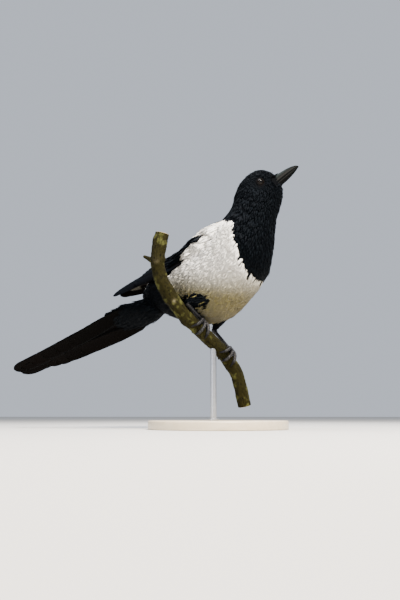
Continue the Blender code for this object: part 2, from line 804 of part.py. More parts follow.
def build():
    """Builds every node."""
    clear_scene()
    black = finish("black plumage", (0.012, 0.012, 0.015), 0.55)
    white = finish("white plumage", (0.82, 0.80, 0.76), 0.8)
    gloss = finish("blue flight feathers", (0.01, 0.02, 0.05), 0.35)
    horn = finish("black horn", (0.02, 0.02, 0.02), 0.3)
    scale = finish("grey black scales", (0.03, 0.03, 0.035), 0.5)
    glass = finish("dark eye", (0.01, 0.006, 0.004), 0.05)
    bark = finish("olive bark", (0.10, 0.10, 0.04), 0.85)
    wood = finish("pale stand", (0.55, 0.50, 0.42), 0.5)
    steel = finish("brushed rod", (0.6, 0.6, 0.6), 0.35, 1.0)

    torso = body_length("torso", 0, NECK_START)
    neck = body_length("neck", NECK_START, HEAD_START)
    head = body_length("head", HEAD_START, FACE_END)
    upper = bill_half("bill_upper", True)
    lower = bill_half("bill_lower", False)
    combine(head, [lid_ring("lid", side) for side in (-1, 1)] + bristle_locks(), "UNION")
    eyes = []
    for label, side in (("right", -1), ("left", 1)):
        centre, outward = eye_place(side)
        eyes.append(ball("eye_" + label, centre, EYE_RADIUS, 16, 10, outward))
    sockets = [ball("socket", eye_place(side)[0], EYE_RADIUS + GAP, 16, 10, eye_place(side)[1])
               for side in (-1, 1)]
    combine(head, sockets + mouth_slits() + [swollen(upper), swollen(lower)], "DIFFERENCE")

    wings = []
    for label, side in (("right", -1), ("left", 1)):
        wing = build_wing("wing_" + label, side)
        combine(wing, [swollen(torso)], "DIFFERENCE")
        wings.append(wing)
    tail = build_tail()
    combine(tail, [swollen(torso)], "DIFFERENCE")

    perch = build_perch()
    feet, claws, tarsi, thighs = [], [], [], []
    for label in ("right", "left"):
        foot = build_foot(label)
        tarsus = build_tarsus(label)
        combine(tarsus, [build_foot(label, GAP)], "DIFFERENCE")
        thigh = build_thigh(label)
        combine(thigh, [swollen(torso), build_tarsus(label, GAP)], "DIFFERENCE")
        feet.append(foot)
        claws += build_claws(label)
        tarsi.append(tarsus)
        thighs.append(thigh)

    combine(torso, [build_foot("right", GAP)], "DIFFERENCE")
    centre = perch_frame(ROD_SHARE)[0]
    base = disc("stand_base", BASE_RADIUS, 0.0, BASE_HEIGHT, 36, BASE_BEVEL)
    rod_top = centre[2]
    rod = shifted(disc("stand_rod", ROD_RADIUS, BASE_HEIGHT - ROD_SOCKET_DEPTH, rod_top, 16),
                  centre[0], centre[1])
    base_hole = shifted(disc("hole", ROD_RADIUS + GAP, BASE_HEIGHT - ROD_SOCKET_DEPTH - GAP, 30.0, 16),
                        centre[0], centre[1])
    perch_hole = shifted(disc("hole", ROD_RADIUS + GAP, 20.0, rod_top + GAP, 16), centre[0], centre[1])
    combine(base, [base_hole], "DIFFERENCE")
    combine(perch, [perch_hole], "DIFFERENCE")

    for things, material in (
            ([head, neck, *thighs], black), ([torso], white), ([*wings, tail], gloss),
            ([upper, lower, *claws], horn), (tarsi + feet, scale), (eyes, glass),
            ([perch], bark), ([base], wood), ([rod], steel)):
        for thing in things:
            dress(thing, material)


build()
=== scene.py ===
from math import cos, pi, radians, sin, tau

import bmesh
import bpy
import numpy as np
from bpy.props import FloatProperty, FloatVectorProperty, IntProperty, PointerProperty
from mathutils import Matrix, Vector, kdtree, noise


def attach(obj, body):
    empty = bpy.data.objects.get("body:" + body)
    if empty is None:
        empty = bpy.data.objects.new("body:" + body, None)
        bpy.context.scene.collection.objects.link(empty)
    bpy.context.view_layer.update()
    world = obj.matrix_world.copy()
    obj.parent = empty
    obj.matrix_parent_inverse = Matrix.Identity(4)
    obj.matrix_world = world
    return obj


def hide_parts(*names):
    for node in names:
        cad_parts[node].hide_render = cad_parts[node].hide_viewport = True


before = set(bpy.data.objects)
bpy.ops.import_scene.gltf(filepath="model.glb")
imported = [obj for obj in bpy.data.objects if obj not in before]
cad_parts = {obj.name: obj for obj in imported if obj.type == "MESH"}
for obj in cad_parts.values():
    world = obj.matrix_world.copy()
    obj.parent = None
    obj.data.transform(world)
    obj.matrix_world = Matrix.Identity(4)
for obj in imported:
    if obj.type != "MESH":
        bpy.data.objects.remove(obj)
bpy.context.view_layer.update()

bl_info = {
    "name": "Eurasian magpie on a cut branch",
    "version": (1, 0, 0),
    "blender": (4, 5, 0),
    "location": "View3D > Sidebar > Magpie",
    "description": "Skin, plumage, bill, legs, branch and stand of a life-size magpie model",
    "category": "Object",
}

MM = 0.001
BODY = "root"
SEED = 11

# Body sections from the rump to the bill, in millimetres: back line x and z,
# belly line x and z, half width, and the turn about the neck's upright axis in degrees
SECTIONS = np.array([
    (-92.0, 164.0, -80.0, 146.0, 12.0, 0.0),
    (-80.0, 178.0, -64.0, 136.0, 26.0, 0.0),
    (-63.0, 193.0, -42.0, 127.5, 36.0, 0.0),
    (-44.0, 206.0, -12.0, 122.0, 42.0, 0.0),
    (-25.0, 219.0, 20.0, 131.0, 44.5, 0.0),
    (-8.0, 231.0, 46.0, 156.0, 44.5, 0.0),
    (3.0, 242.0, 62.0, 180.0, 41.0, 0.0),
    (11.0, 251.0, 68.5, 207.0, 34.5, 2.0),
    (16.0, 258.0, 71.0, 228.0, 29.5, 6.0),
    (19.5, 266.0, 73.5, 246.0, 26.0, 10.0),
    (22.0, 276.0, 77.5, 260.0, 22.5, 15.0),
    (25.5, 284.5, 80.0, 269.5, 20.3, 15.0),
    (30.0, 292.0, 81.0, 277.0, 18.8, 15.0),
    (37.0, 300.0, 81.3, 282.0, 17.9, 15.0),
    (47.0, 306.0, 81.6, 285.5, 16.6, 15.0),
    (56.0, 306.5, 82.0, 286.6, 14.6, 15.0),
    (63.5, 304.5, 82.8, 287.3, 12.0, 15.0),
    (68.5, 302.7, 83.3, 288.0, 9.8, 15.0),
    (72.0, 302.0, 84.0, 289.0, 8.2, 15.0),
    (74.0, 301.5, 85.0, 290.4, 6.9, 15.0),
])
FACE_END = len(SECTIONS) - 1
NECK_AXIS_X = 45.0
UPPER_WIDTH_BIAS = 0.10
HEAD_START = 10.0
HEAD_TURN = radians(15.0)
BILL_PITCH = radians(38.0)

# Where black gives way to white: angle from the back line in degrees, section number
BIB_EDGE = ((0.0, 22.0, 40.0, 52.0, 61.0, 66.0, 73.0, 82.0, 87.0, 102.0, 118.0, 134.0, 159.0, 180.0),
            (6.0, 6.5, 6.69, 6.81, 6.95, 6.96, 6.64, 6.26, 6.12, 5.84, 5.58, 5.49, 5.54, 5.76))
VENT_EDGE = ((0.0, 66.0, 84.0, 99.0, 110.0, 118.0, 128.0, 144.0, 174.0, 180.0),
             (2.0, 2.2, 2.25, 2.4, 2.55, 2.85, 3.15, 3.35, 3.3, 3.3))
# Upper limit of the white flank on the back: section number, angle in degrees
FLANK_TOP = ((1.5, 2.25, 2.65, 2.95, 3.45, 4.05, 4.85, 5.5, 6.4, 7.0),
             (80.0, 66.0, 58.0, 51.0, 42.0, 38.0, 32.0, 26.0, 24.0, 24.0))
# The bare part of the folded wing between the flank's plumes and the shoulder feathers:
# its lower and upper line, each as length and offset
TUCK_LINE = ((4.0, 11.0, 19.0, 27.0, 33.0, 38.0, 43.0, 53.0, 60.0),
             (-8.0, -8.2, -7.8, -4.2, 0.8, 6.0, 10.0, 15.5, 20.0))
SHOULDER_LINE = ((4.0, 11.0, 22.0, 30.0, 60.0), (-11.0, -15.0, -18.5, -20.0, -20.0))
MANTLE_HALF_WIDTH = 9.0
MANTLE_FLARE = 30.0

# Length of the feathers along the body: section number, millimetres
FEATHER_REACH = ((0.0, 2.0, 4.0, 6.0, 7.0, 10.0, 12.0, 14.0, 16.0, 18.0, 19.0),
                 (10.0, 15.0, 16.0, 13.0, 11.0, 8.0, 6.0, 4.4, 3.4, 2.8, 2.6))

# Bill sections: distance ahead of the base, ridge height, mouth line height,
# lower edge depth and half width
BILL_SECTIONS = np.array([
    (-7.5, 5.2, -3.9, -7.0, 8.0),
    (0.0, 6.6, -3.0, -7.4, 6.9),
    (6.0, 6.6, -2.5, -7.2, 6.0),
    (13.0, 6.0, -2.0, -6.7, 5.0),
    (20.0, 5.2, -1.6, -5.6, 3.8),
    (26.0, 3.9, -1.3, -4.3, 2.6),
    (31.0, 1.9, -1.3, -2.7, 1.3),
    (33.4, -0.3, -1.6, -2.1, 0.5),
])
EYE_RADIUS = 4.6
LID_RADIUS = 1.0

# Cores under the wing's and shoulder's feathers: length, middle, half width, depth, top share
WING_CORE = ((-10.0, 0.0, 6.0, -3.0, 0.3), (4.0, 0.0, 15.0, -6.0, 0.9), (30.0, 0.0, 19.0, -6.0, 0.97),
             (56.0, -1.0, 18.0, -5.0, 0.85), (84.0, -2.0, 13.0, -3.0, 0.45))
SHOULDER_CORE = ((-8.0, 3.0, 5.0, -4.0, 1.0), (4.0, 4.0, 12.0, -5.0, 1.0), (20.0, 5.0, 17.0, -5.0, 1.0),
                 (42.0, 5.0, 17.0, -6.0, 1.0), (60.0, 4.0, 13.0, -7.0, 1.0), (74.0, 3.0, 6.0, -6.0, 1.0))
SHOULDER_TOP = ((-8.0, 4.0, 20.0, 42.0, 60.0, 74.0), (1.0, 5.2, 7.6, 6.3, 3.0, -0.5))
WING_SUNK = 2.5
WING_BEND = 45.0
SHOULDER_BEND = 22.0
WING_LENGTH = 142.0

TAIL_ROOT = np.array([-82.0, 0.0, 141.0])
TAIL_LENGTH = 213.0
TAIL_YAW = radians(10.0)
TAIL_PITCH = radians(19.0)
TAIL_TWIST = radians(26.0)
# Tail feathers from the middle outwards, on the right and the left side: share of the
# tail's length, offset of the root and of the tip
TAIL_FAN = {
    -1: ((1.0, -6.0, -6.0), (0.95, -9.0, -7.5), (0.865, -12.0, -8.0), (0.765, -15.0, -9.5),
         (0.66, -18.0, -10.5), (0.54, -22.0, -11.0)),
    1: ((0.985, 3.0, 3.5), (0.94, 4.0, 2.5), (0.80, 7.0, 8.5), (0.745, 10.0, 10.5),
        (0.66, 12.0, 11.5), (0.54, 15.0, 11.0)),
}
# Covered root of the tail: length, middle, half width, height and depth
TAIL_CORE = ((-17.0, 0.0, 12.0, 11.0, 11.0), (0.0, -2.0, 20.0, 11.0, 10.0),
             (22.0, -4.0, 26.0, 7.5, 7.5), (45.0, -4.0, 26.0, 4.0, 4.5), (66.0, -5.0, 19.0, 1.2, 1.6))

# Centre line of the branch from its low end to its high end
PERCH_ROUTE = np.array([
    (24.0, 35.5, 27.0),
    (21.0, 31.0, 45.5),
    (17.5, 27.0, 62.0),
    (11.0, 20.0, 76.0),
    (3.0, 9.0, 89.0),
    (-5.0, -3.0, 99.5),
    (-17.0, -21.0, 113.0),
    (-30.0, -36.0, 127.0),
    (-40.5, -47.0, 144.0),
    (-49.0, -55.0, 160.0),
    (-54.0, -61.0, 181.0),
    (-52.0, -64.0, 200.0),
    (-48.0, -65.0, 217.0),
])
ROUTE_POINTS = 201
PERCH_RADIUS = 7.8
PERCH_SWELL = 1.05
GAP = 0.3
KNOT_SHARE = 0.86
# Swellings of the branch: share of its length, direction, height and reach
SWELLINGS = ((0.755, (-0.3, -0.9, 0.3), 1.8, 5.0), (0.735, (0.9, -0.4, 0.0), 1.5, 4.0),
             (0.875, (0.95, -0.2, 0.1), 1.7, 3.0), (0.56, (-0.3, -0.5, -0.8), 1.5, 5.0),
             (0.94, (0.9, -0.3, 0.0), 1.3, 5.0), (0.68, (-0.8, -0.4, -0.4), 1.5, 5.0),
             (0.97, (-0.9, -0.3, 0.0), 1.4, 4.0))
STUB_DIRECTION = np.array([-0.86, -0.25, 0.44])
ROD_SHARE = 0.37
ROD_RADIUS = 3.5
BASE_RADIUS = 80.0
BASE_HEIGHT = 10.0
BASE_BEVEL = 2.0
FOOT_SHARE = {"right": 0.485, "left": 0.275}
HEEL = {"right": np.array([-26.0, -42.0, 141.0]), "left": np.array([-11.0, 25.0, 118.0])}
KNEE = {"right": np.array([8.0, -18.0, 152.0]), "left": np.array([12.0, 15.0, 147.0])}
THIGH_RADIUS = 11.0
TARSUS_RADIUS = 2.3
TOE_RADIUS = 2.4
CLAW_RADIUS = 1.5
CLAW_TIP = 0.35
# Toes: name, start and end angle round the branch, shift along it, the claw's further angle
TOES = (
    ("inner", 0.15, 1.75, 8.5, 0.75),
    ("middle", 0.15, 2.35, 0.0, 0.85),
    ("outer", 0.15, 1.75, -8.5, 0.75),
    ("back", -0.15, -1.35, 0.0, -1.0),
)

# Outline of one side of a small feather: share of its length, share of its width,
# and the point of the shaft that it is joined to. Its far edge is frayed.
SHAFT = (0.0, 0.30, 0.62, 0.86)
CONTOUR_EDGE = ((0.10, 0.14, 0), (0.30, 0.38, 1), (0.54, 0.50, 2), (0.80, 0.47, 2), (0.74, 0.33, 2),
                (0.92, 0.31, 3), (0.85, 0.18, 3), (0.99, 0.13, 3))
PLUME_EDGE = ((0.14, 0.12, 0), (0.40, 0.32, 1), (0.82, 0.50, 1), (0.52, 0.20, 1), (0.96, 0.26, 2),
              (0.68, 0.07, 2))
LOCK_EDGE = ((0.20, 0.36, 0), (0.52, 0.50, 1), (0.84, 0.26, 2))

# Outline of a flight or tail feather: share of its length, share of its half width
VANE_PLAN = ((0.0, 0.08, 0.4, 0.78, 0.90, 0.96, 1.0), (0.25, 0.6, 0.95, 1.0, 0.82, 0.55, 0.10))
TAIL_PLAN = ((0.0, 0.08, 0.4, 0.78, 0.93, 0.965, 0.987, 1.0), (0.25, 0.6, 0.95, 1.0, 0.92, 0.74, 0.48, 0.12))
TAIL_FEATHER_HALF = 12.0

CAMERA_PLACE = (0.17035, -0.71547, 0.015)
CAMERA_TURN = radians(15.0)
CAMERA_RISE = radians(10.41)
CAMERA_LENS = 37.9


def linear(code):
    """Turns an sRGB hex colour into linear red, green, blue and one."""
    parts = [int(code[i:i + 2], 16) / 255.0 for i in (1, 3, 5)]
    return tuple(c / 12.92 if c <= 0.04045 else ((c + 0.055) / 1.055) ** 2.4 for c in parts) + (1.0,)


def hue(name, code, description):
    """A colour that the panel shows."""
    return FloatVectorProperty(name=name, description=description, subtype="COLOR", size=4,
                               min=0.0, max=1.0, default=linear(code))


def size(name, value, description):
    """A length in metres that the panel shows."""
    return FloatProperty(name=name, description=description, unit="LENGTH", subtype="DISTANCE",
                         precision=5, min=0.0, default=value * MM)


class MagpieSizes(bpy.types.PropertyGroup):
    """Sizes of the coat and of the fine forms"""
    skin_voxel: size("Skin detail", 2.0, "Edge of the cells that join the body's forms")
    coat_depth: size("Coat depth", 2.2, "How far the skin lies under the plumage of the body")
    face_depth: size("Face coat depth", 1.0, "How far the skin lies under the plumage of the face")
    head_spacing: size("Head spacing", 1.15, "Distance between the roots of the head's feathers")
    neck_spacing: size("Neck spacing", 1.5, "Distance between the roots of the neck's feathers")
    flank_spacing: size("Flank spacing", 1.15, "Distance between the roots of the white plumes")
    back_spacing: size("Back spacing", 2.0, "Distance between the roots of back feathers")
    barb_step: size("Barb step", 1.5, "Distance between the drawn barbs of a large feather")
    tilt: FloatProperty(name="Feather lift", description="Angle of a small feather to the skin",
                        subtype="ANGLE", default=radians(11.0))
    seed: IntProperty(name="Seed", description="Start of every random draw", default=SEED)


class MagpieColours(bpy.types.PropertyGroup):
    """Colours of the plumage, the bare parts, the branch and the stand"""
    black: hue("Black plumage", "#040608", "Head, neck, breast, mantle and vent")
    white: hue("White plumage", "#f6f4ee", "Shoulders, flanks and belly")
    # Painted shade and warm bounce light low on the belly, partly a real warmer tone
    shaded_cream: hue("Low belly", "#675f2c", "Warm tone low on the belly")
    rump: hue("Rump", "#7d7d7c", "Grey band above the tail")
    # Used as a base colour, so this blue is painted gloss
    blue: hue("Wing gloss", "#04070c", "Blue reflection of the wing's feathers")
    green: hue("Tail gloss", "#0a2c24", "Green reflection of the tail's feathers")
    under: hue("Underside", "#030201", "Brown black underside of the tail and wing")
    bill: hue("Bill", "#040505", "Black horn of the bill")
    leg: hue("Legs", "#0e0e11", "Grey black scales of the legs")
    iris: hue("Iris", "#0d0704", "Very dark brown iris")
    bark: hue("Bark", "#211f06", "Olive bark of the branch")
    bark_dark: hue("Dark bark", "#080702", "Cracks and shaded bark")
    cut_wood: hue("Cut wood", "#cdb98c", "Sawn ends of the branch")
    stand: hue("Stand", "#d9cdb6", "Pale lacquered wood")
    floor: hue("Floor", "#c9c7c3", "Plain pale floor")


def sizes():
    return bpy.context.scene.magpie_sizes


def colours():
    return bpy.context.scene.magpie_colours


# Shapes

def blend_table(table, position):
    """Reads a smooth curve through the rows of a table at row positions."""
    position = np.atleast_1d(position).astype(float)
    last = len(table) - 1
    row = np.clip(np.floor(position).astype(int), 0, last - 1)
    t = (position - row)[:, None]
    before, here = table[np.maximum(row - 1, 0)], table[row]
    there, after = table[row + 1], table[np.minimum(row + 2, last)]
    return ((2 * t**3 - 3 * t**2 + 1) * here + (t**3 - 2 * t**2 + t) * 0.5 * (there - before)
            + (-2 * t**3 + 3 * t**2) * there + (t**3 - t**2) * 0.5 * (after - here))


def turned(points, angle):
    """Turns points about the neck's upright axis."""
    points = np.asarray(points, dtype=float)
    x = points[..., 0] - NECK_AXIS_X
    y = points[..., 1]
    return np.stack([NECK_AXIS_X + x * np.cos(angle) - y * np.sin(angle),
                     x * np.sin(angle) + y * np.cos(angle), points[..., 2]], axis=-1)


def body_grid(positions, angles):
    """Points of the body's surface for section positions and angles from the back."""
    rows = blend_table(SECTIONS, positions)
    back_x, back_z, belly_x, belly_z, half_width, turn = rows.T[:, :, None]
    c, s = np.cos(angles)[None, :], np.sin(angles)[None, :]
    x = (back_x + belly_x) / 2 + (back_x - belly_x) / 2 * c
    z = (back_z + belly_z) / 2 + (back_z - belly_z) / 2 * c
    y = half_width * s * (1.0 + UPPER_WIDTH_BIAS * c)
    return turned(np.stack([x, y, z], axis=-1), np.radians(turn))


def unit(vector):
    """Directions of length one."""
    vector = np.asarray(vector, dtype=float)
    return vector / np.maximum(np.linalg.norm(vector, axis=-1, keepdims=True), 1e-12)


def head_point(x, y, z):
    """A point given in the head's own frame, before the head is turned."""
    return turned(np.array([x, y, z]), HEAD_TURN)


def head_direction(x, y, z):
    """A direction given in the head's own frame."""
    return unit(turned(np.array([NECK_AXIS_X + x, y, z]), HEAD_TURN) - np.array([NECK_AXIS_X, 0.0, 0.0]))


def eye_place(side):
    """Centre of an eye and the direction it looks in."""
    return head_point(51.5, side * 15.6, 286.0), head_direction(0.22, side * 0.97, 0.0)


def bill_frame():
    """The bill's base, its direction, its left side and its upward direction."""
    along = head_direction(cos(BILL_PITCH), 0.0, sin(BILL_PITCH))
    side = head_direction(0.0, 1.0, 0.0)
    return head_point(73.0, 0.0, 293.0), along, side, np.cross(along, side)


def wing_frame(side):
    """A wing's front, its direction, its outer normal and its across direction."""
    along = unit((-0.915, -side * 0.17, -0.345))
    out = np.array([-0.36, side * 0.66, 0.66])
    out = unit(out - along * out.dot(along))
    return (np.array([2.0, side * 36.0, 212.5]) - out * WING_SUNK, along, out,
            np.cross(along, out) * side)


def shoulder_frame(side):
    """The same for the patch of shoulder feathers."""
    along = unit((-61.0, side * 18.0, -47.0))
    out = np.array([-0.5, side * 0.35, 0.8])
    out = unit(out - along * out.dot(along))
    return np.array([10.0, side * 12.0, 241.0]), along, out, np.cross(along, out) * side


def tail_frame():
    """The tail's root, its direction, its upper side and its across direction."""
    along = np.array([-cos(TAIL_YAW) * cos(TAIL_PITCH), sin(TAIL_YAW) * cos(TAIL_PITCH),
                      -sin(TAIL_PITCH)])
    level = np.array([sin(TAIL_YAW), cos(TAIL_YAW), 0.0])
    across = level * cos(TAIL_TWIST) + np.cross(along, level) * sin(TAIL_TWIST)
    return TAIL_ROOT, along, -np.cross(along, across), across


def placer(surface, radius, middle):
    """Makes the function that maps length, offset and height to a point of a bent surface."""
    front, along, out, across = surface

    def place(length, offset, height):
        drop = (offset - middle) ** 2 / (2.0 * radius) if radius else 0.0
        return front + along * length + across * offset + out * (height - drop)
    return place


def local_place(surface, radius, middle, points):
    """Length, offset and height of points over a bent surface."""
    front, along, out, across = surface
    away = points - front
    offset = away @ across
    return away @ along, offset, away @ out + (offset - middle) ** 2 / (2.0 * radius)


def cover_height(offset):
    """Height of the covered stack of flight feathers, more towards the back."""
    return 5.2 - 0.13 * offset


def loft(rings):
    """Points and faces of closed rings joined in a row, with flat ends."""
    rings = np.asarray(rings, dtype=float)
    rows, count = rings.shape[:2]
    faces = []
    for r in range(rows - 1):
        for i in range(count):
            j = (i + 1) % count
            faces.append((r * count + i, r * count + j, (r + 1) * count + j, (r + 1) * count + i))
    faces.append(tuple(reversed(range(count))))
    faces.append(tuple((rows - 1) * count + i for i in range(count)))
    return rings.reshape(-1, 3), faces


def core(place, rows, top):
    """The closed form under a wing's feathers."""
    rings = []
    for length, middle, half, depth, share in rows:
        ring = []
        for angle in np.arange(24) * tau / 24:
            offset = middle + half * cos(angle)
            height = top(length, offset) * share if sin(angle) > 0.0 else depth
            ring.append(place(length, offset, height * abs(sin(angle)) ** 0.7))
        rings.append(ring)
    return loft(rings)


def tube(route, radii, sides, upward=(0.0, 0.0, 1.0), shape=None):
    """A bar along a route: shape(row, angle) scales its radius."""
    route = np.asarray(route, dtype=float)
    reference = np.asarray(upward, dtype=float)
    rings = []
    for i, point in enumerate(route):
        along = unit(route[min(i + 1, len(route) - 1)] - route[max(i - 1, 0)])
        first = unit(reference - along * reference.dot(along))
        second = np.cross(along, first)
        reference = first
        ring = []
        for k in range(sides):
            angle = tau * k / sides
            reach = radii[i] * (shape(i, angle) if shape else 1.0)
            ring.append(point + reach * (first * cos(angle) + second * sin(angle)))
        rings.append(ring)
    return loft(rings)


def smooth_route(table, count):
    """Evenly spaced points on a smooth curve through the rows of a table."""
    fine = blend_table(table, np.linspace(0, len(table) - 1, 800))
    travelled = np.concatenate([[0.0], np.cumsum(np.linalg.norm(np.diff(fine, axis=0), axis=1))])
    wanted = np.linspace(0.0, travelled[-1], count)
    return np.stack([np.interp(wanted, travelled, fine[:, i]) for i in range(3)], axis=1)


def perch_frame(share):
    """Centre, direction, standing direction and forward direction of the branch."""
    route = smooth_route(PERCH_ROUTE, ROUTE_POINTS)
    last = ROUTE_POINTS - 1
    index = int(round(share * last))
    along = unit(route[min(index + 2, last)] - route[max(index - 2, 0)])
    standing = unit(np.array([0.0, 0.0, 1.0]) - along * along[2])
    forward = np.cross(along, standing)
    return route[index], along, standing, forward if forward[0] > 0.0 else -forward


# Making objects

def new_piece(name, parts, materials, smooth=True, recalculate=True):
    """One object from parts in millimetres, each with its points, faces and material number."""
    points, faces, worn = [], [], []
    start = 0
    for part in parts:
        points.append(np.asarray(part[0], dtype=float))
        faces += [tuple(start + i for i in face) for face in part[1]]
        worn += [part[2] if len(part) > 2 else 0] * len(part[1])
        start += len(part[0])
    mesh = bpy.data.meshes.new(name)
    mesh.from_pydata((np.concatenate(points) * MM).tolist(), [], faces)
    for material in materials:
        mesh.materials.append(material)
    mesh.polygons.foreach_set("material_index", worn)
    if recalculate:
        form = bmesh.new()
        form.from_mesh(mesh)
        bmesh.ops.recalc_face_normals(form, faces=form.faces)
        form.to_mesh(mesh)
        form.free()
    mesh.polygons.foreach_set("use_smooth", [smooth] * len(faces))
    thing = bpy.data.objects.new(name, mesh)
    bpy.context.scene.collection.objects.link(thing)
    return thing


def settle(thing, slot, *nodes):
    """Sets a finished piece on the body and hides the nodes it stands for; the slot is not used."""
    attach(thing, BODY)
    if nodes:
        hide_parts(*nodes)


def applied(thing):
    """Turns an object's evaluated shape into its plain mesh."""
    graph = bpy.context.evaluated_depsgraph_get()
    mesh = bpy.data.meshes.new_from_object(thing.evaluated_get(graph))
    thing.modifiers.clear()
    old = thing.data
    thing.data = mesh
    bpy.data.meshes.remove(old)
    return thing


def vertex_places(mesh):
    """Places of a mesh's vertices in millimetres."""
    places = np.empty(len(mesh.vertices) * 3)
    mesh.vertices.foreach_get("co", places)
    return places.reshape(-1, 3) / MM


def store(mesh, name, values):
    """Stores one number or one direction for each vertex."""
    values = np.asarray(values, dtype=np.float32)
    kind = "FLOAT_VECTOR" if values.ndim == 2 else "FLOAT"
    attribute = mesh.attributes.new(name, kind, "POINT")
    attribute.data.foreach_set("vector" if values.ndim == 2 else "value", values.ravel())


# Nodes

def add_node(tree, kind, options=None, feeds=None):
    """Adds a node with its options, and feeds its inputs with values or other nodes' sockets."""
    node = tree.nodes.new(kind)
    for name, value in (options or {}).items():
        setattr(node, name, value)
    for key, value in (feeds or {}).items():
        if isinstance(value, bpy.types.NodeSocket):
            tree.links.new(value, node.inputs[key])
        else:
            node.inputs[key].default_value = value
    return node


def new_material(name, base, roughness, **constants):
    """A material with its Principled shader's constants set on the shader's own sockets."""
    material = bpy.data.materials.new(name)
    material.use_nodes = True
    tree = material.node_tree
    shader = tree.nodes["Principled BSDF"]
    shader.inputs["Base Color"].default_value = base
    shader.inputs["Roughness"].default_value = roughness
    for key, value in constants.items():
        shader.inputs[key.replace("_", " ")].default_value = value
    return material, tree, shader


def mix(tree, factor, first, second, way="MIX"):
    """The colour socket of two colours mixed."""
    node = add_node(tree, "ShaderNodeMix", {"data_type": "RGBA", "blend_type": way},
                    {0: factor, 6: first, 7: second})
    return node.outputs[2]


def calculate(tree, operation, first, second=0.0, third=0.0, clamp=False):
    """The value socket of a sum on numbers."""
    return add_node(tree, "ShaderNodeMath", {"operation": operation, "use_clamp": clamp},
                    {0: first, 1: second, 2: third}).outputs[0]


def attribute(tree, name):
    """The value socket of a number stored on the mesh."""
    return add_node(tree, "ShaderNodeAttribute", {"attribute_name": name}).outputs["Fac"]


def ramp(tree, factor, stops):
    """The colour socket of a colour ramp through stops of place and colour."""
    node = add_node(tree, "ShaderNodeValToRGB", feeds={0: factor})
    elements = node.color_ramp.elements
    while len(elements) < len(stops):
        elements.new(0.5)
    for element, (place, tone) in zip(elements, stops):
        element.position = place
        element.color = tone
    return node.outputs[0]


def bump(tree, shader, height, distance, strength=1.0):
    """Adds relief of a real depth in millimetres."""
    node = add_node(tree, "ShaderNodeBump", feeds={
        "Height": height, "Distance": distance * MM, "Strength": strength})
    tree.links.new(node.outputs[0], shader.inputs["Normal"])


def grey(value):
    """A neutral colour."""
    return (value, value, value, 1.0)


def plume_barbs(tree, shader, depth):
    """Fine barbs that slant from the shaft of a small feather, along its own map."""
    place = add_node(tree, "ShaderNodeUVMap", {"uv_map": "vane"}).outputs[0]
    parts = add_node(tree, "ShaderNodeSeparateXYZ", feeds={0: place})
    off = calculate(tree, "ABSOLUTE", calculate(tree, "SUBTRACT", parts.outputs[1], 0.5))
    slant = calculate(tree, "SUBTRACT", parts.outputs[0], off)
    wave = calculate(tree, "SINE", calculate(tree, "MULTIPLY", slant, 52.0))
    bump(tree, shader, wave, depth, 0.5)
    return parts.outputs[0], off


def black_plumage():
    """Black contour feathers: velvety, each with a faint blue painted sheen towards its far end that shows the folds.
    """
    c = colours()
    material, tree, shader = new_material(
        "black contour feathers", c.black, 0.5, Specular_IOR_Level=0.03,
        Specular_Tint=linear("#b9c6e0"))
    length, off = plume_barbs(tree, shader, 0.05)
    shade = attribute(tree, "shade")
    tone = mix(tree, shade, grey(0.45), grey(1.5))
    base = mix(tree, 1.0, tuple(c.black), tone, "MULTIPLY")
    # Painted sheen: the far end of each feather turns lighter and bluer, standing in for the gloss on the folds
    tip_sheen = calculate(tree, "POWER", length, 3.0)
    base = mix(tree, calculate(tree, "MULTIPLY", tip_sheen, 0.5), base, linear("#080a0d"))
    tree.links.new(base, shader.inputs["Base Color"])
    rough = add_node(tree, "ShaderNodeMapRange", feeds={0: shade, 3: 0.42, 4: 0.64})
    tree.links.new(rough.outputs[0], shader.inputs["Roughness"])
    return material


def white_plumage():
    """White contour feathers: soft and matt, creamy and darker low on the belly as painted shade with a real warmer
    tone, greyer at their roots.
    """
    c = colours()
    material, tree, shader = new_material(
        "white contour feathers", c.white, 0.72, Specular_IOR_Level=0.3,
        Sheen_Weight=0.25, Sheen_Roughness=0.5, Sheen_Tint=linear("#fffaf0"))
    length, off = plume_barbs(tree, shader, 0.05)
    shade = attribute(tree, "shade")
    warm = attribute(tree, "warm")
    # Painted shade: the white turns darker and creamier low on the belly, partly a real warmer tone
    base = mix(tree, warm, tuple(c.white), tuple(c.shaded_cream))
    base = mix(tree, 1.0, base, mix(tree, shade, grey(0.90), grey(1.0)), "MULTIPLY")
    root = calculate(tree, "SUBTRACT", 1.0, calculate(tree, "MULTIPLY", length, 2.2), clamp=True)
    base = mix(tree, calculate(tree, "MULTIPLY", root, 0.2), base, linear("#9f9a8c"))
    tree.links.new(base, shader.inputs["Base Color"])
    return material


def rump_plumage():
    """Grey contour feathers of the rump band."""
    c = colours()
    material, tree, shader = new_material("grey rump feathers", c.rump, 0.7, Specular_IOR_Level=0.3,
                                          Sheen_Weight=0.2)
    plume_barbs(tree, shader, 0.05)
    tone = mix(tree, attribute(tree, "shade"), grey(0.7), grey(1.15))
    tree.links.new(mix(tree, 1.0, tuple(c.rump), tone, "MULTIPLY"), shader.inputs["Base Color"])
    return material


def glossy_coverts():
    """Small wing feathers: black, with a blue gloss painted into the base colour over a faint metallic."""
    c = colours()
    material, tree, shader = new_material(
        "glossed covert feathers", c.blue, 0.5, Metallic=0.04, Specular_IOR_Level=0.03,
        Specular_Tint=linear("#7fa4ea"))
    length, off = plume_barbs(tree, shader, 0.05)
    # Painted gloss: the base colour runs from black to blue by a random tone
    tone = mix(tree, attribute(tree, "shade"), linear("#05070c"), tuple(c.blue))
    tree.links.new(tone, shader.inputs["Base Color"])
    return material


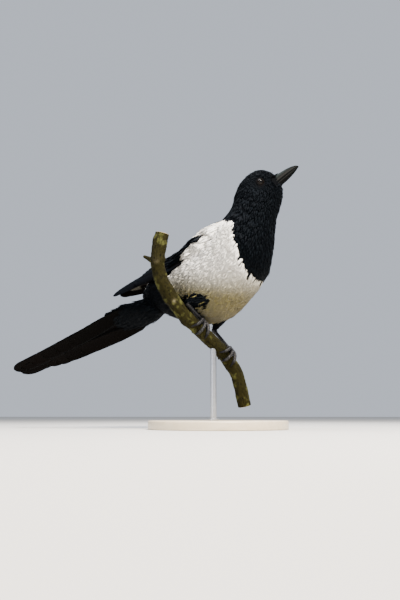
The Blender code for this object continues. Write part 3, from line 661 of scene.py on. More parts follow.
def vane_material(name, first, second, roughness, metallic, shine):
    """Large feather vane: dark, with a gloss whose tone runs along the feather."""
    material, tree, shader = new_material(name, first, roughness, Metallic=metallic,
                                          Specular_IOR_Level=shine)
    length = attribute(tree, "share")
    web = attribute(tree, "web")
    shade = attribute(tree, "shade")
    tone = mix(tree, calculate(tree, "ADD", calculate(tree, "MULTIPLY", length, 0.8),
                               calculate(tree, "MULTIPLY", shade, 0.3), clamp=True), first, second)
    tone = mix(tree, 1.0, tone, mix(tree, shade, grey(0.6), grey(1.2)), "MULTIPLY")
    off = calculate(tree, "ABSOLUTE", web)
    worn = calculate(tree, "MULTIPLY", calculate(tree, "POWER", off, 14.0), 0.5)
    tone = mix(tree, worn, tone, linear("#121315"))
    pale = attribute(tree, "pale")
    tone = mix(tree, pale, tone, linear("#6f6c62"))
    tree.links.new(tone, shader.inputs["Base Color"])
    glossed = calculate(tree, "MULTIPLY", calculate(tree, "SUBTRACT", 1.0, pale), metallic)
    tree.links.new(glossed, shader.inputs["Metallic"])
    reach = attribute(tree, "reach_mm")
    slant = calculate(tree, "SUBTRACT", calculate(tree, "MULTIPLY", length, reach),
                      calculate(tree, "MULTIPLY", off, 9.0))
    wave = calculate(tree, "SINE", calculate(tree, "MULTIPLY", slant, tau / (sizes().barb_step / MM)))
    shaft = calculate(tree, "LESS_THAN", off, 0.05)
    bump(tree, shader, calculate(tree, "ADD", wave, calculate(tree, "MULTIPLY", shaft, 4.0)), 0.03, 0.5)
    return material


def skin_material():
    """Skin under the coat, with the same markings as the feathers over it."""
    c = colours()
    material, tree, shader = new_material("feathered skin", c.black, 0.9, Specular_IOR_Level=0.03)
    white = attribute(tree, "white")
    # Under the white plumage the skin takes the same painted shade low on the belly
    light = mix(tree, attribute(tree, "warm"), linear("#d8d4c8"), linear("#aa9f78"))
    base = mix(tree, white, linear("#050608"), light)
    base = mix(tree, attribute(tree, "grey"), base, linear("#5d5d5f"))
    tree.links.new(base, shader.inputs["Base Color"])
    fuzz = add_node(tree, "ShaderNodeTexNoise", feeds={
        "Vector": add_node(tree, "ShaderNodeTexCoord").outputs["Object"], "Scale": 900.0, "Detail": 4.0})
    bump(tree, shader, fuzz.outputs[0], 0.25, 0.6)
    return material


def lid_material():
    """Bare lid skin: dark grey, finely beaded."""
    material, tree, shader = new_material("bare eyelid skin", linear("#0a0a0b"), 0.8, Specular_IOR_Level=0.03)
    beads = add_node(tree, "ShaderNodeTexVoronoi", feeds={
        "Vector": add_node(tree, "ShaderNodeTexCoord").outputs["Object"], "Scale": 2200.0})
    tree.links.new(mix(tree, beads.outputs[0], linear("#0d0d0f"), linear("#050506")),
                   shader.inputs["Base Color"])
    bump(tree, shader, beads.outputs[0], 0.12, 0.8)
    return material


def horn_material(name, base, roughness, painted_side_sheen):
    """Grown keratin: smooth horn with fine lengthwise grain and a soft polish, and on the bill a painted grey-green
    sheen along the upper half's side.
    """
    material, tree, shader = new_material(name, base, roughness, IOR=1.5, Specular_IOR_Level=0.03,
                                          Coat_Weight=0.008, Coat_Roughness=0.3)
    along = attribute(tree, "along")
    flank = attribute(tree, "flank")
    grain = add_node(tree, "ShaderNodeTexNoise", feeds={
        "Vector": add_node(tree, "ShaderNodeTexCoord").outputs["Object"], "Scale": 420.0, "Detail": 5.0,
        "Roughness": 0.6})
    tone = mix(tree, grain.outputs[0], grey(0.7), grey(1.3))
    tone = mix(tree, 1.0, base, tone, "MULTIPLY")
    if painted_side_sheen:
        # Painted sheen: a grey-green band along the upper half's side, fading towards the tip
        band = calculate(tree, "MULTIPLY", flank, calculate(tree, "SUBTRACT", 1.0, along))
        tone = mix(tree, calculate(tree, "MULTIPLY", band, 0.6, clamp=True), tone, linear("#242d2a"))
    tree.links.new(tone, shader.inputs["Base Color"])
    rough = add_node(tree, "ShaderNodeMapRange", feeds={0: grain.outputs[0], 3: roughness - 0.08,
                                                        4: roughness + 0.14})
    tree.links.new(rough.outputs[0], shader.inputs["Roughness"])
    bump(tree, shader, grain.outputs[0], 0.06, 0.5)
    return material


def scale_material():
    """Horny leg scales: grey black, with pale plate edges that are partly worn tone and partly painted highlight, and
    dark joints between the plates.
    """
    c = colours()
    material, tree, shader = new_material("horny leg scales", c.leg, 0.45, IOR=1.5,
                                          Specular_IOR_Level=0.2)
    place = add_node(tree, "ShaderNodeTexCoord").outputs["Object"]
    cells = add_node(tree, "ShaderNodeTexVoronoi", {"feature": "DISTANCE_TO_EDGE"},
                     {"Vector": place, "Scale": 700.0})
    edge = add_node(tree, "ShaderNodeMapRange", feeds={0: cells.outputs[0], 1: 0.0, 2: 0.25})
    spots = add_node(tree, "ShaderNodeTexNoise", feeds={"Vector": place, "Scale": 260.0, "Detail": 3.0})
    tone = mix(tree, spots.outputs[0], tuple(c.leg), linear("#17181b"))
    # Pale plate edges: partly worn tone, partly painted highlight
    tone = mix(tree, attribute(tree, "rim"), tone, linear("#3e3e42"))
    tone = mix(tree, edge.outputs[0], linear("#0a0a0c"), tone)
    tree.links.new(tone, shader.inputs["Base Color"])
    bump(tree, shader, edge.outputs[0], 0.18, 0.8)
    return material


def eye_material():
    """Wet eyeball: very dark brown iris round a black pupil under a clear polish."""
    c = colours()
    material, tree, shader = new_material("wet dark eye", c.iris, 0.16, IOR=1.38, Coat_Weight=0.11,
                                          Coat_Roughness=0.02, Specular_IOR_Level=0.08)
    turn = attribute(tree, "from_axis")
    rays = add_node(tree, "ShaderNodeTexNoise", feeds={
        "Vector": add_node(tree, "ShaderNodeTexCoord").outputs["Object"], "Scale": 1500.0, "Detail": 3.0})
    iris = mix(tree, rays.outputs[0], linear("#050302"), tuple(c.iris))
    tone = mix(tree, calculate(tree, "LESS_THAN", turn, 0.52), iris, grey(0.0015))
    tone = mix(tree, calculate(tree, "GREATER_THAN", turn, 0.98), tone, grey(0.004))
    tree.links.new(tone, shader.inputs["Base Color"])
    return material


def bark_material():
    """Thin living bark: olive brown, with lengthwise cracks, lenticels and grey lichen film."""
    c = colours()
    material, tree, shader = new_material("olive beech bark", c.bark, 0.85, Specular_IOR_Level=0.08)
    place = add_node(tree, "ShaderNodeUVMap", {"uv_map": "bark"}).outputs[0]
    stretched = add_node(tree, "ShaderNodeMapping", feeds={0: place, 3: (0.28, 1.0, 1.0)})
    fine = add_node(tree, "ShaderNodeTexNoise", feeds={
        "Vector": stretched.outputs[0], "Scale": 0.55, "Detail": 8.0, "Roughness": 0.68})
    patches = add_node(tree, "ShaderNodeTexNoise", feeds={
        "Vector": add_node(tree, "ShaderNodeTexCoord").outputs["Object"], "Scale": 75.0, "Detail": 5.0})
    cracks = ramp(tree, fine.outputs[0], ((0.34, grey(0.0)), (0.47, grey(1.0)), (0.62, grey(0.8)),
                                          (0.75, grey(1.0))))
    olive = mix(tree, patches.outputs[0], linear("#141202"), tuple(c.bark))
    lichen = ramp(tree, patches.outputs[0], ((0.54, grey(0.0)), (0.62, grey(1.0))))
    tone = mix(tree, calculate(tree, "MULTIPLY", lichen, 0.55), olive, linear("#50522a"))
    tone = mix(tree, cracks, tuple(c.bark_dark), tone)
    tone = mix(tree, calculate(tree, "MULTIPLY", attribute(tree, "scar"), fine.outputs[0]), tone,
               linear("#8f866a"))
    tree.links.new(tone, shader.inputs["Base Color"])
    bump(tree, shader, cracks, 0.9, 1.0)
    return material


def cut_material():
    """Sawn end grain: pale wood with growth rings and a darker rind."""
    c = colours()
    material, tree, shader = new_material("sawn end grain", c.cut_wood, 0.75, Specular_IOR_Level=0.25)
    ring = attribute(tree, "ring")
    wave = calculate(tree, "SINE", calculate(tree, "MULTIPLY", ring, 46.0))
    rough = add_node(tree, "ShaderNodeTexNoise", feeds={
        "Vector": add_node(tree, "ShaderNodeTexCoord").outputs["Object"], "Scale": 500.0, "Detail": 4.0})
    tone = mix(tree, calculate(tree, "MULTIPLY_ADD", wave, 0.25, 0.35), tuple(c.cut_wood),
               linear("#94784a"))
    tone = mix(tree, calculate(tree, "MULTIPLY", rough.outputs[0], 0.4), tone, linear("#7d6238"))
    tone = mix(tree, calculate(tree, "GREATER_THAN", ring, 0.88), tone, linear("#4a4020"))
    tree.links.new(tone, shader.inputs["Base Color"])
    bump(tree, shader, calculate(tree, "ADD", wave, rough.outputs[0]), 0.1, 0.6)
    return material


def stand_material():
    """Lacquered pale maple: quiet figure under a satin lacquer."""
    c = colours()
    material, tree, shader = new_material("lacquered pale maple", c.stand, 0.38, Coat_Weight=0.35,
                                          Coat_Roughness=0.22)
    place = add_node(tree, "ShaderNodeTexCoord").outputs["Object"]
    stretched = add_node(tree, "ShaderNodeMapping", feeds={0: place, 3: (6.0, 60.0, 60.0)})
    figure = add_node(tree, "ShaderNodeTexNoise", feeds={
        "Vector": stretched.outputs[0], "Scale": 3.0, "Detail": 6.0, "Distortion": 0.6})
    pores = add_node(tree, "ShaderNodeTexNoise", feeds={
        "Vector": add_node(tree, "ShaderNodeMapping", feeds={0: place, 3: (60.0, 900.0, 900.0)}).outputs[0],
        "Scale": 3.0, "Detail": 2.0})
    tone = mix(tree, figure.outputs[0], linear("#e3d8c3"), linear("#c4b392"))
    tone = mix(tree, calculate(tree, "MULTIPLY", pores.outputs[0], 0.25), tone, linear("#a58f69"))
    tree.links.new(tone, shader.inputs["Base Color"])
    bump(tree, shader, pores.outputs[0], 0.02, 0.4)
    return material


def steel_material():
    """Brushed stainless rod: drawn lines round a satin metal."""
    material, tree, shader = new_material("brushed stainless steel", linear("#c6c8ca"), 0.32,
                                          Metallic=1.0, Anisotropic=0.5)
    place = add_node(tree, "ShaderNodeTexCoord").outputs["Object"]
    lines = add_node(tree, "ShaderNodeTexNoise", feeds={
        "Vector": add_node(tree, "ShaderNodeMapping", feeds={0: place, 3: (40.0, 40.0, 2600.0)}).outputs[0],
        "Scale": 2.0, "Detail": 3.0})
    tone = mix(tree, lines.outputs[0], linear("#a9abae"), linear("#dcdddf"))
    tree.links.new(tone, shader.inputs["Base Color"])
    rough = add_node(tree, "ShaderNodeMapRange", feeds={0: lines.outputs[0], 3: 0.24, 4: 0.42})
    tree.links.new(rough.outputs[0], shader.inputs["Roughness"])
    bump(tree, shader, lines.outputs[0], 0.01, 0.5)
    return material


# The skin and what it knows of the coat

def body_samples():
    """A search tree over the body's surface with each sample's section and angle."""
    positions = np.linspace(0.0, FACE_END, 153)
    angles = np.linspace(-pi, pi, 120, endpoint=False)
    grid = body_grid(positions, angles)
    ahead = body_grid(np.minimum(positions + 0.1, FACE_END), angles)
    behind = body_grid(np.maximum(positions - 0.1, 0.0), angles)
    lie = unit(behind - ahead).reshape(-1, 3)
    flat = grid.reshape(-1, 3)
    tree = kdtree.KDTree(len(flat))
    for i, point in enumerate(flat):
        tree.insert(point, i)
    tree.balance()
    section = np.repeat(positions, len(angles))
    angle = np.tile(angles, len(positions))
    return tree, section, angle, lie


def nearest(tree, points):
    """Index and distance of the nearest sample for each point."""
    found = [tree.find(point) for point in points]
    return np.array([f[1] for f in found]), np.array([f[2] for f in found])


def thigh_route(label):
    """Points of the feathered upper leg and its radii."""
    shares = np.linspace(0.0, 1.0, 12)
    route = KNEE[label] + (HEEL[label] - KNEE[label]) * shares[:, None] * 0.97
    return route, THIGH_RADIUS * (1.0 - 0.59 * shares ** 1.4)


def flesh_parts():
    """Closed forms of the body, the cores of the wings and tail, and the thighs."""
    angles = np.arange(64) * tau / 64
    parts = [loft(body_grid(np.linspace(0.0, FACE_END, 77), angles))]
    for side in (-1, 1):
        parts.append(core(placer(wing_frame(side), WING_BEND, 0.0), WING_CORE,
                          lambda length, offset: cover_height(offset)))
        parts.append(core(placer(shoulder_frame(side), SHOULDER_BEND, 4.0), SHOULDER_CORE,
                          lambda length, offset: float(np.interp(length, *SHOULDER_TOP))))
    tail = placer(tail_frame(), 0.0, 0.0)
    rings = []
    for length, middle, half, high, low in TAIL_CORE:
        rings.append([tail(length, middle + half * cos(a), (high if sin(a) > 0.0 else low) * sin(a))
                      for a in np.arange(28) * tau / 28])
    parts.append(loft(rings))
    for label in ("right", "left"):
        parts.append(tube(*thigh_route(label), 20))
    return parts


def lid_part(side):
    """The rim of the lids round one eye, thicker above."""
    centre, outward = eye_place(side)
    across = unit(np.cross(outward, (0.0, 0.0, 1.0)))
    upward = np.cross(across, outward)
    count, around = 40, 10
    points, faces = [], []
    for i in range(count):
        angle = tau * i / count
        spoke = across * cos(angle) + upward * sin(angle)
        middle = centre + outward * 2.1 + spoke * (4.55 - 0.12 * sin(angle))
        thick = LID_RADIUS * (0.62 + 0.12 * sin(angle) + 0.05 * sin(11.0 * angle))
        for k in range(around):
            turn = tau * k / around
            points.append(middle + thick * (spoke * cos(turn) + outward * sin(turn)))
    for i in range(count):
        for k in range(around):
            a, b = i * around + k, i * around + (k + 1) % around
            c, d = ((i + 1) % count) * around + (k + 1) % around, ((i + 1) % count) * around + k
            faces.append((a, b, c, d))
    return np.array(points), faces, 1


def build_skin():
    """One closed skin over all flesh, sunk under the coat, with the coat's lie and markings."""
    s = sizes()
    skin = new_piece("skin", flesh_parts(), [])
    remesh = skin.modifiers.new("join", "REMESH")
    remesh.mode = "VOXEL"
    remesh.voxel_size = s.skin_voxel
    soften = skin.modifiers.new("soften", "SMOOTH")
    soften.factor = 0.5
    soften.iterations = 5
    applied(skin)
    mesh = skin.data
    points = vertex_places(mesh)
    normals = np.empty(len(mesh.vertices) * 3)
    mesh.vertices.foreach_get("normal", normals)
    normals = normals.reshape(-1, 3)

    tree, section_of, angle_of, lie_of = body_samples()
    index, away = nearest(tree, points)
    section, angle, lie = section_of[index], angle_of[index], lie_of[index].copy()
    turn = np.degrees(np.abs(angle))
    kind = np.zeros(len(points))
    tucked = kind > 0.0
    room = np.full(len(points), 99.0)
    for side in (-1, 1):
        near = points[:, 1] * side > 0.0
        surface = wing_frame(side)
        length, offset, height = local_place(surface, WING_BEND, 0.0, points)
        wing = near & (length > -8) & (length < 90) & (np.abs(offset) < 21) & (height > 0.2) & (away > 0.9)
        kind[wing] = 1
        lie[wing] = surface[1]
        tucked |= wing & (length < 46.0) & (offset > 0.0)
        for step in (0.0, 2.5, 5.0, 7.5, 10.0, 12.5):
            reached = length + step
            inside = (near & (reached > 4.0) & (reached < 62.0) & (np.abs(height) < 25.0)
                      & (offset < np.interp(reached, *TUCK_LINE))
                      & (offset > np.interp(reached, *SHOULDER_LINE)))
            room = np.where(inside, np.minimum(room, step), room)
        surface = shoulder_frame(side)
        length, offset, height = local_place(surface, SHOULDER_BEND, 4.0, points)
        shoulder = (near & (length > -9) & (length < 78) & (offset > -13) & (offset < 23)
                    & (height > 0.0) & (away > 0.9))
        kind[shoulder] = 2
        lie[shoulder] = surface[1]
    wedge = room < 1.0
    root, along, upper, across = tail_frame()
    length = (points - root) @ along
    tail = (length > 4.0) & (length < 42.0) & (away > 1.2) & (points[:, 0] < -80.0)
    kind[tail] = 3
    lie[tail] = along
    tail_lie = along
    for label in ("right", "left"):
        axis = HEEL[label] - KNEE[label]
        share = np.clip((points - KNEE[label]) @ axis / axis.dot(axis), 0.0, 1.0)
        gone = np.linalg.norm(points - KNEE[label] - share[:, None] * axis, axis=1)
        thigh = (gone < THIGH_RADIUS + 0.5) & (away > 1.0) & (share > 0.1) & (points[:, 2] < 152.0)
        kind[thigh] = 4
        lie[thigh] = unit(axis)
    tailward = (np.clip(1.0 - section / 2.2, 0.0, 1.0) * (kind == 0))[:, None]
    lie = lie * (1.0 - tailward) + tail_lie * tailward
    lie = unit(lie - normals * np.sum(lie * normals, axis=1)[:, None])

    flank = ((section < np.interp(turn, *BIB_EDGE)) & (section > np.interp(turn, *VENT_EDGE))
             & (turn > np.interp(section, *FLANK_TOP)) & (kind != 4) & (kind != 1)) | tucked
    flank &= ~wedge
    mantle = MANTLE_HALF_WIDTH + MANTLE_FLARE * np.clip((points[:, 0] - 7.0) / 9.0, 0.0, 1.0)
    scapular = (kind == 2) & (np.abs(points[:, 1]) > mantle) & ~(flank & (turn > 33.0)) & ~wedge
    flank &= (kind != 2) | ~scapular
    white = flank | scapular
    rump = (section < 2.0) & (section > 0.7) & (turn < 48.0) & (kind == 0)
    black = ~white & ~rump

    eye_gap = np.full(len(points), 1e3)
    depth = np.where(section > HEAD_START, s.face_depth / MM, s.coat_depth / MM)
    depth = np.interp(section, (7.0, 12.0), (s.coat_depth / MM, s.face_depth / MM))
    for side in (-1, 1):
        centre, outward = eye_place(side)
        off = points - centre
        axial = off @ outward
        radial = np.linalg.norm(off - axial[:, None] * outward, axis=1)
        eye_gap = np.where(axial > -3.0, np.minimum(eye_gap, radial), eye_gap)
    depth = depth + 1.6 * np.clip(1.0 - (eye_gap - 3.5) / 2.5, 0.0, 1.0)
    bill = bill_frame()
    ahead, above = (points - bill[0]) @ bill[1], (points - bill[0]) @ bill[3]
    gape = (ahead > -6.5) & (above > -7.2) & (above < 4.6)
    depth = depth + np.where(ahead > 0.5, 1.8, 0.0)
    depth = depth + 3.0 * np.clip((ahead + 8.0) / 3.0, 0.0, 1.0) * ((above > -7.2) & (above < 4.6))

    reach = np.interp(section, *FEATHER_REACH)
    reach = np.where(turn < 40.0, reach * 0.85, reach)
    past = section - np.interp(turn, *BIB_EDGE)
    reach = np.where(past > 0.0, reach * np.interp(past, (0.0, 0.8), (0.5, 1.0)), reach)
    reach = np.where(((kind == 1) & ~tucked) | wedge, 7.5, reach)
    reach = np.where(kind == 2, 15.0, reach)
    reach = np.where(tucked & ~wedge, 15.0, reach)
    reach = np.where(wedge, reach, np.minimum(reach, np.maximum(room, 4.0)))
    reach = np.where(kind == 3, 11.0, reach)
    reach = np.where(kind == 4, 8.0, reach)
    reach = reach * np.clip(0.30 + (eye_gap - 5.5) / 8.0, 0.30, 1.0)
    bare = (eye_gap < 5.3) | gape | (ahead > 3.0) | (((points - root) @ along > 44.0) & (points[:, 0] < -100.0))
    reach = np.where(ahead > -2.0, reach * 0.7, reach)
    # Mark for the painted shade low on the belly, partly a real warmer tone: it grows from 196 mm down to 150 mm
    warm = np.clip((196.0 - points[:, 2]) / 46.0, 0.0, 1.0)
    warm = warm * warm * (3.0 - 2.0 * warm)

    store(mesh, "lie", lie)
    store(mesh, "reach", reach * MM)
    store(mesh, "white", white)
    store(mesh, "grey", rump)
    store(mesh, "warm", warm)
    covered = ~bare
    near_side = points[:, 1] < 0.0
    flight_base = (kind == 1)
    store(mesh, "in_head", covered & black & (section >= HEAD_START))
    bib = covered & black & (section < HEAD_START) & (section > 5.2) & (kind == 0)
    store(mesh, "in_bib_edge", bib & (past < 0.75) & (turn > 20.0))
    store(mesh, "in_neck", bib & ((past > 0.6) | (turn < 24.0)))
    black &= covered
    scapular &= covered
    store(mesh, "in_mantle", black & (kind != 4) & (kind != 3) & (kind != 1) & (section <= 6.4)
          & (turn < np.where(section > 5.3, 34.0, 75.0)))
    store(mesh, "in_scapulars", scapular)
    store(mesh, "in_flank_right", flank & near_side)
    store(mesh, "in_flank_left", flank & ~near_side)
    store(mesh, "in_rump", rump)
    store(mesh, "in_vent", black & (section < 4.0) & (length < 42.0) & (
        ((kind == 0) & (turn >= 75.0)) | ((kind == 3) & ((points - root) @ upper <= 2.0))))
    store(mesh, "in_tail_coverts", (kind == 3) & ((points - root) @ upper > 2.0))
    store(mesh, "in_thighs", kind == 4)
    store(mesh, "in_wing_coverts", black & covered & (flight_base | (wedge & (kind == 2))))
    mesh.vertices.foreach_set("co", ((points - normals * depth[:, None]) * MM).ravel())
    mesh.update()
    return skin


def unwrap(thing, name):
    """Lays the faces of an object out on a map of its own shape."""
    thing.data.uv_layers.new(name=name)
    bpy.ops.object.select_all(action="DESELECT")
    thing.select_set(True)
    bpy.context.view_layer.objects.active = thing
    bpy.ops.object.mode_set(mode="EDIT")
    bpy.ops.mesh.select_all(action="SELECT")
    bpy.ops.uv.smart_project(angle_limit=1.15, island_margin=0.004, scale_to_bounds=True)
    bpy.ops.object.mode_set(mode="OBJECT")


# Small feathers

def small_feather(name, edge, number, droop, cup):
    """One thin closed feather of length and width one, with a frayed far edge."""
    draw = np.random.default_rng(SEED + number)
    tops, lows = [], []

    def spot(x, y, lift):
        return x, y, -droop * x * x - cup * y * y + lift
    points = [spot(0.0, 0.0, 0.0)]
    for x in SHAFT[1:]:
        tops.append(len(points))
        points.append(spot(x, 0.0, 0.012))
    for x in SHAFT[1:]:
        lows.append(len(points))
        points.append(spot(x, 0.0, -0.006))
    tip = len(points)
    points.append(spot(1.0, 0.0, 0.0))
    tops, lows = [0, *tops], [0, *lows]
    faces = []
    for way in (1, -1):
        rim = []
        for x, y, joint in edge:
            rim.append((len(points), joint))
            shift = draw.uniform(-0.03, 0.03, 2)
            points.append(spot(x + shift[0], way * (y + shift[1]), 0.0))
        rim.append((tip, len(SHAFT) - 1))
        for spine, turn in ((tops, way), (lows, -way)):
            fans = []
            for (a, ka), (b, kb) in zip(rim, rim[1:]):
                fans.append((spine[ka], a, b))
                for k in range(ka, kb):
                    fans.append((spine[k], b, spine[k + 1]))
            first = rim[0]
            for k in range(first[1]):
                fans.append((spine[k], first[0], spine[k + 1]))
            faces += [face if turn < 0 else face[::-1] for face in fans if len(set(face)) == 3]
    mesh = bpy.data.meshes.new(name)
    mesh.from_pydata(points, [], faces)
    mesh.polygons.foreach_set("use_smooth", [True] * len(faces))
    places = np.array(points)
    loops = np.empty(len(mesh.loops), dtype=np.int32)
    mesh.loops.foreach_get("vertex_index", loops)
    layer = mesh.uv_layers.new(name="vane")
    layer.data.foreach_set("uv", np.stack([places[loops, 0], places[loops, 1] + 0.5], axis=1).ravel())
    form = bmesh.new()
    form.from_mesh(mesh)
    bmesh.ops.recalc_face_normals(form, faces=form.faces)
    form.to_mesh(mesh)
    form.free()
    return bpy.data.objects.new(name, mesh)


def feather_set(name, edge, droop, cup, count=4):
    """A collection of like feathers, each a little different."""
    group = bpy.data.collections.new(name)
    for number in range(count):
        group.objects.link(small_feather(f"{name}_{number}", edge, number, droop, cup))
    return group


def scatter_tree():
    """Nodes that set feathers on a skin, along its lie, and join them into one mesh."""
    tree = bpy.data.node_groups.new("feather scatter", "GeometryNodeTree")
    face = tree.interface
    face.new_socket(name="Skin", in_out="INPUT", socket_type="NodeSocketGeometry")
    face.new_socket(name="Feathers", in_out="OUTPUT", socket_type="NodeSocketGeometry")
    for name, kind, value in (
            ("Where", "NodeSocketString", ""), ("Lie", "NodeSocketString", "lie"),
            ("Spacing", "NodeSocketFloat", 0.002), ("Shape", "NodeSocketCollection", None),
            ("Width", "NodeSocketFloat", 0.5), ("Length", "NodeSocketFloat", 1.0),
            ("Lift", "NodeSocketFloat", 0.2), ("Disorder", "NodeSocketFloat", 0.1),
            ("Seed", "NodeSocketInt", 1), ("Finish", "NodeSocketMaterial", None)):
        socket = face.new_socket(name=name, in_out="INPUT", socket_type=kind)
        if value is not None:
            socket.default_value = value
    given = add_node(tree, "NodeGroupInput").outputs
    named = "GeometryNodeInputNamedAttribute"
    where = add_node(tree, named, {"data_type": "FLOAT"}, {"Name": given["Where"]})
    chosen = add_node(tree, "FunctionNodeCompare", {"data_type": "FLOAT", "operation": "GREATER_THAN"},
                      {0: where.outputs[0], 1: 0.5})
    crowd = add_node(tree, "ShaderNodeMath", {"operation": "DIVIDE"}, {
        0: 4.0, 1: add_node(tree, "ShaderNodeMath", {"operation": "MULTIPLY"},
                            {0: given["Spacing"], 1: given["Spacing"]}).outputs[0]})
    spread = add_node(tree, "GeometryNodeDistributePointsOnFaces", {"distribute_method": "POISSON"}, {
        "Mesh": given["Skin"], "Distance Min": given["Spacing"], "Density Max": crowd.outputs[0],
        "Density Factor": chosen.outputs[0], "Seed": given["Seed"]})
    lie = add_node(tree, named, {"data_type": "FLOAT_VECTOR"}, {"Name": given["Lie"]})
    up = add_node(tree, "FunctionNodeAlignRotationToVector", {"axis": "Z"},
                  {"Vector": spread.outputs["Normal"]})
    along = add_node(tree, "FunctionNodeAlignRotationToVector", {"axis": "X", "pivot_axis": "Z"},
                     {"Rotation": up.outputs[0], "Vector": lie.outputs[0]})
    less = add_node(tree, "ShaderNodeMath", {"operation": "MULTIPLY"}, {0: given["Disorder"], 1: -1.0})
    wild = add_node(tree, "FunctionNodeRandomValue", {"data_type": "FLOAT_VECTOR"}, {
        0: add_node(tree, "ShaderNodeCombineXYZ", feeds={
            0: less.outputs[0], 1: less.outputs[0], 2: less.outputs[0]}).outputs[0],
        1: add_node(tree, "ShaderNodeCombineXYZ", feeds={
            0: given["Disorder"], 1: given["Disorder"], 2: given["Disorder"]}).outputs[0],
        8: given["Seed"]})
    lifted = add_node(tree, "ShaderNodeVectorMath", {"operation": "SUBTRACT"}, {
        0: wild.outputs[0],
        1: add_node(tree, "ShaderNodeCombineXYZ", feeds={1: given["Lift"]}).outputs[0]})
    rotation = add_node(tree, "FunctionNodeRotateRotation", {"rotation_space": "LOCAL"}, {
        0: along.outputs[0],
        1: add_node(tree, "FunctionNodeEulerToRotation", feeds={0: lifted.outputs[0]}).outputs[0]})
    reach = add_node(tree, named, {"data_type": "FLOAT"}, {"Name": "reach"})
    vary = add_node(tree, "FunctionNodeRandomValue", {"data_type": "FLOAT"}, {2: 0.9, 3: 1.08, 8: 3})
    scaled = add_node(tree, "ShaderNodeMath", {"operation": "MULTIPLY"}, {
        0: add_node(tree, "ShaderNodeMath", {"operation": "MULTIPLY"},
                    {0: reach.outputs[0], 1: given["Length"]}).outputs[0],
        1: vary.outputs[1]})
    wide = add_node(tree, "ShaderNodeMath", {"operation": "MULTIPLY"},
                    {0: scaled.outputs[0], 1: given["Width"]})
    shape = add_node(tree, "GeometryNodeCollectionInfo", feeds={
        "Collection": given["Shape"], "Separate Children": True, "Reset Children": True})
    shade = add_node(tree, "FunctionNodeRandomValue", {"data_type": "FLOAT"}, {2: 0.0, 3: 1.0, 8: 5})
    toned = add_node(tree, "GeometryNodeStoreNamedAttribute", {"data_type": "FLOAT", "domain": "POINT"}, {
        "Geometry": spread.outputs[0], "Name": "shade", "Value": shade.outputs[1]})
    root = add_node(tree, named, {"data_type": "FLOAT_VECTOR"}, {"Name": "OFBake"})
    rooted = add_node(tree, "GeometryNodeStoreNamedAttribute",
                      {"data_type": "FLOAT_VECTOR", "domain": "POINT"},
                      {"Geometry": toned.outputs[0], "Name": "root_place", "Value": root.outputs[0]})
    cleared = add_node(tree, "GeometryNodeRemoveAttribute",
                       feeds={"Geometry": rooted.outputs[0], "Name": "OFBake"})
    instances = add_node(tree, "GeometryNodeInstanceOnPoints", feeds={
        "Points": cleared.outputs[0], "Instance": shape.outputs[0], "Pick Instance": True,
        "Rotation": rotation.outputs[0],
        "Scale": add_node(tree, "ShaderNodeCombineXYZ", feeds={
            0: scaled.outputs[0], 1: wide.outputs[0], 2: scaled.outputs[0]}).outputs[0]})
    real = add_node(tree, "GeometryNodeRealizeInstances", feeds={0: instances.outputs[0]})
    own = add_node(tree, named, {"data_type": "FLOAT_VECTOR"}, {"Name": "vane"})
    kept = add_node(tree, named, {"data_type": "FLOAT_VECTOR"}, {"Name": "root_place"})
    patch = add_node(tree, "ShaderNodeVectorMath", {"operation": "MULTIPLY_ADD"}, {
        0: own.outputs[0], 1: (0.003, 0.003, 0.0), 2: kept.outputs[0]})
    mapped = add_node(tree, "GeometryNodeStoreNamedAttribute",
                      {"data_type": "FLOAT2", "domain": "CORNER"},
                      {"Geometry": real.outputs[0], "Name": "OFBake", "Value": patch.outputs[0]})
    dressed = add_node(tree, "GeometryNodeSetMaterial",
                       feeds={"Geometry": mapped.outputs[0], "Material": given["Finish"]})
    add_node(tree, "NodeGroupOutput", feeds={0: dressed.outputs[0]})
    return tree


def scatter(name, where, spacing, shape, finish, slot, width=0.5, length=1.0, lift=1.0,
            disorder=0.10, lie="lie"):
    """One piece of the coat: feathers set on a part of the skin."""
    skin = bpy.data.objects["skin"]
    tree = bpy.data.node_groups.get("feather scatter") or scatter_tree()
    thing = bpy.data.objects.new(name, skin.data.copy())
    bpy.context.scene.collection.objects.link(thing)
    modifier = thing.modifiers.new("feathers", "NODES")
    modifier.node_group = tree
    given = {"Where": where, "Lie": lie, "Spacing": spacing, "Shape": bpy.data.collections[shape],
             "Width": width, "Length": length, "Lift": sizes().tilt * lift, "Disorder": disorder,
             "Seed": sizes().seed + len(name), "Finish": finish}
    for item in tree.interface.items_tree:
        if item.in_out == "INPUT" and item.name in given:
            modifier[item.identifier] = given[item.name]
    applied(thing)
    count = len(thing.data.polygons)
    if not 0 < count < 200000:
        raise RuntimeError(f"{name} has {count} faces")
    thing.data.materials.clear()
    thing.data.materials.append(finish)
    settle(thing, slot)
    return thing


def root_patches(roots):
    """Places on the skin's map for points in millimetres."""
    skin = bpy.data.objects["skin"].data
    places = vertex_places(skin)
    loops = np.empty(len(skin.loops), dtype=np.int32)
    skin.loops.foreach_get("vertex_index", loops)
    maps = np.empty(len(loops) * 2)
    skin.uv_layers["OFBake"].data.foreach_get("uv", maps)
    flat = np.zeros((len(places), 2))
    flat[loops] = maps.reshape(-1, 2)
    tree = kdtree.KDTree(len(places))
    for i, place in enumerate(places):
        tree.insert(place, i)
    tree.balance()
    return flat[nearest(tree, roots)[0]]


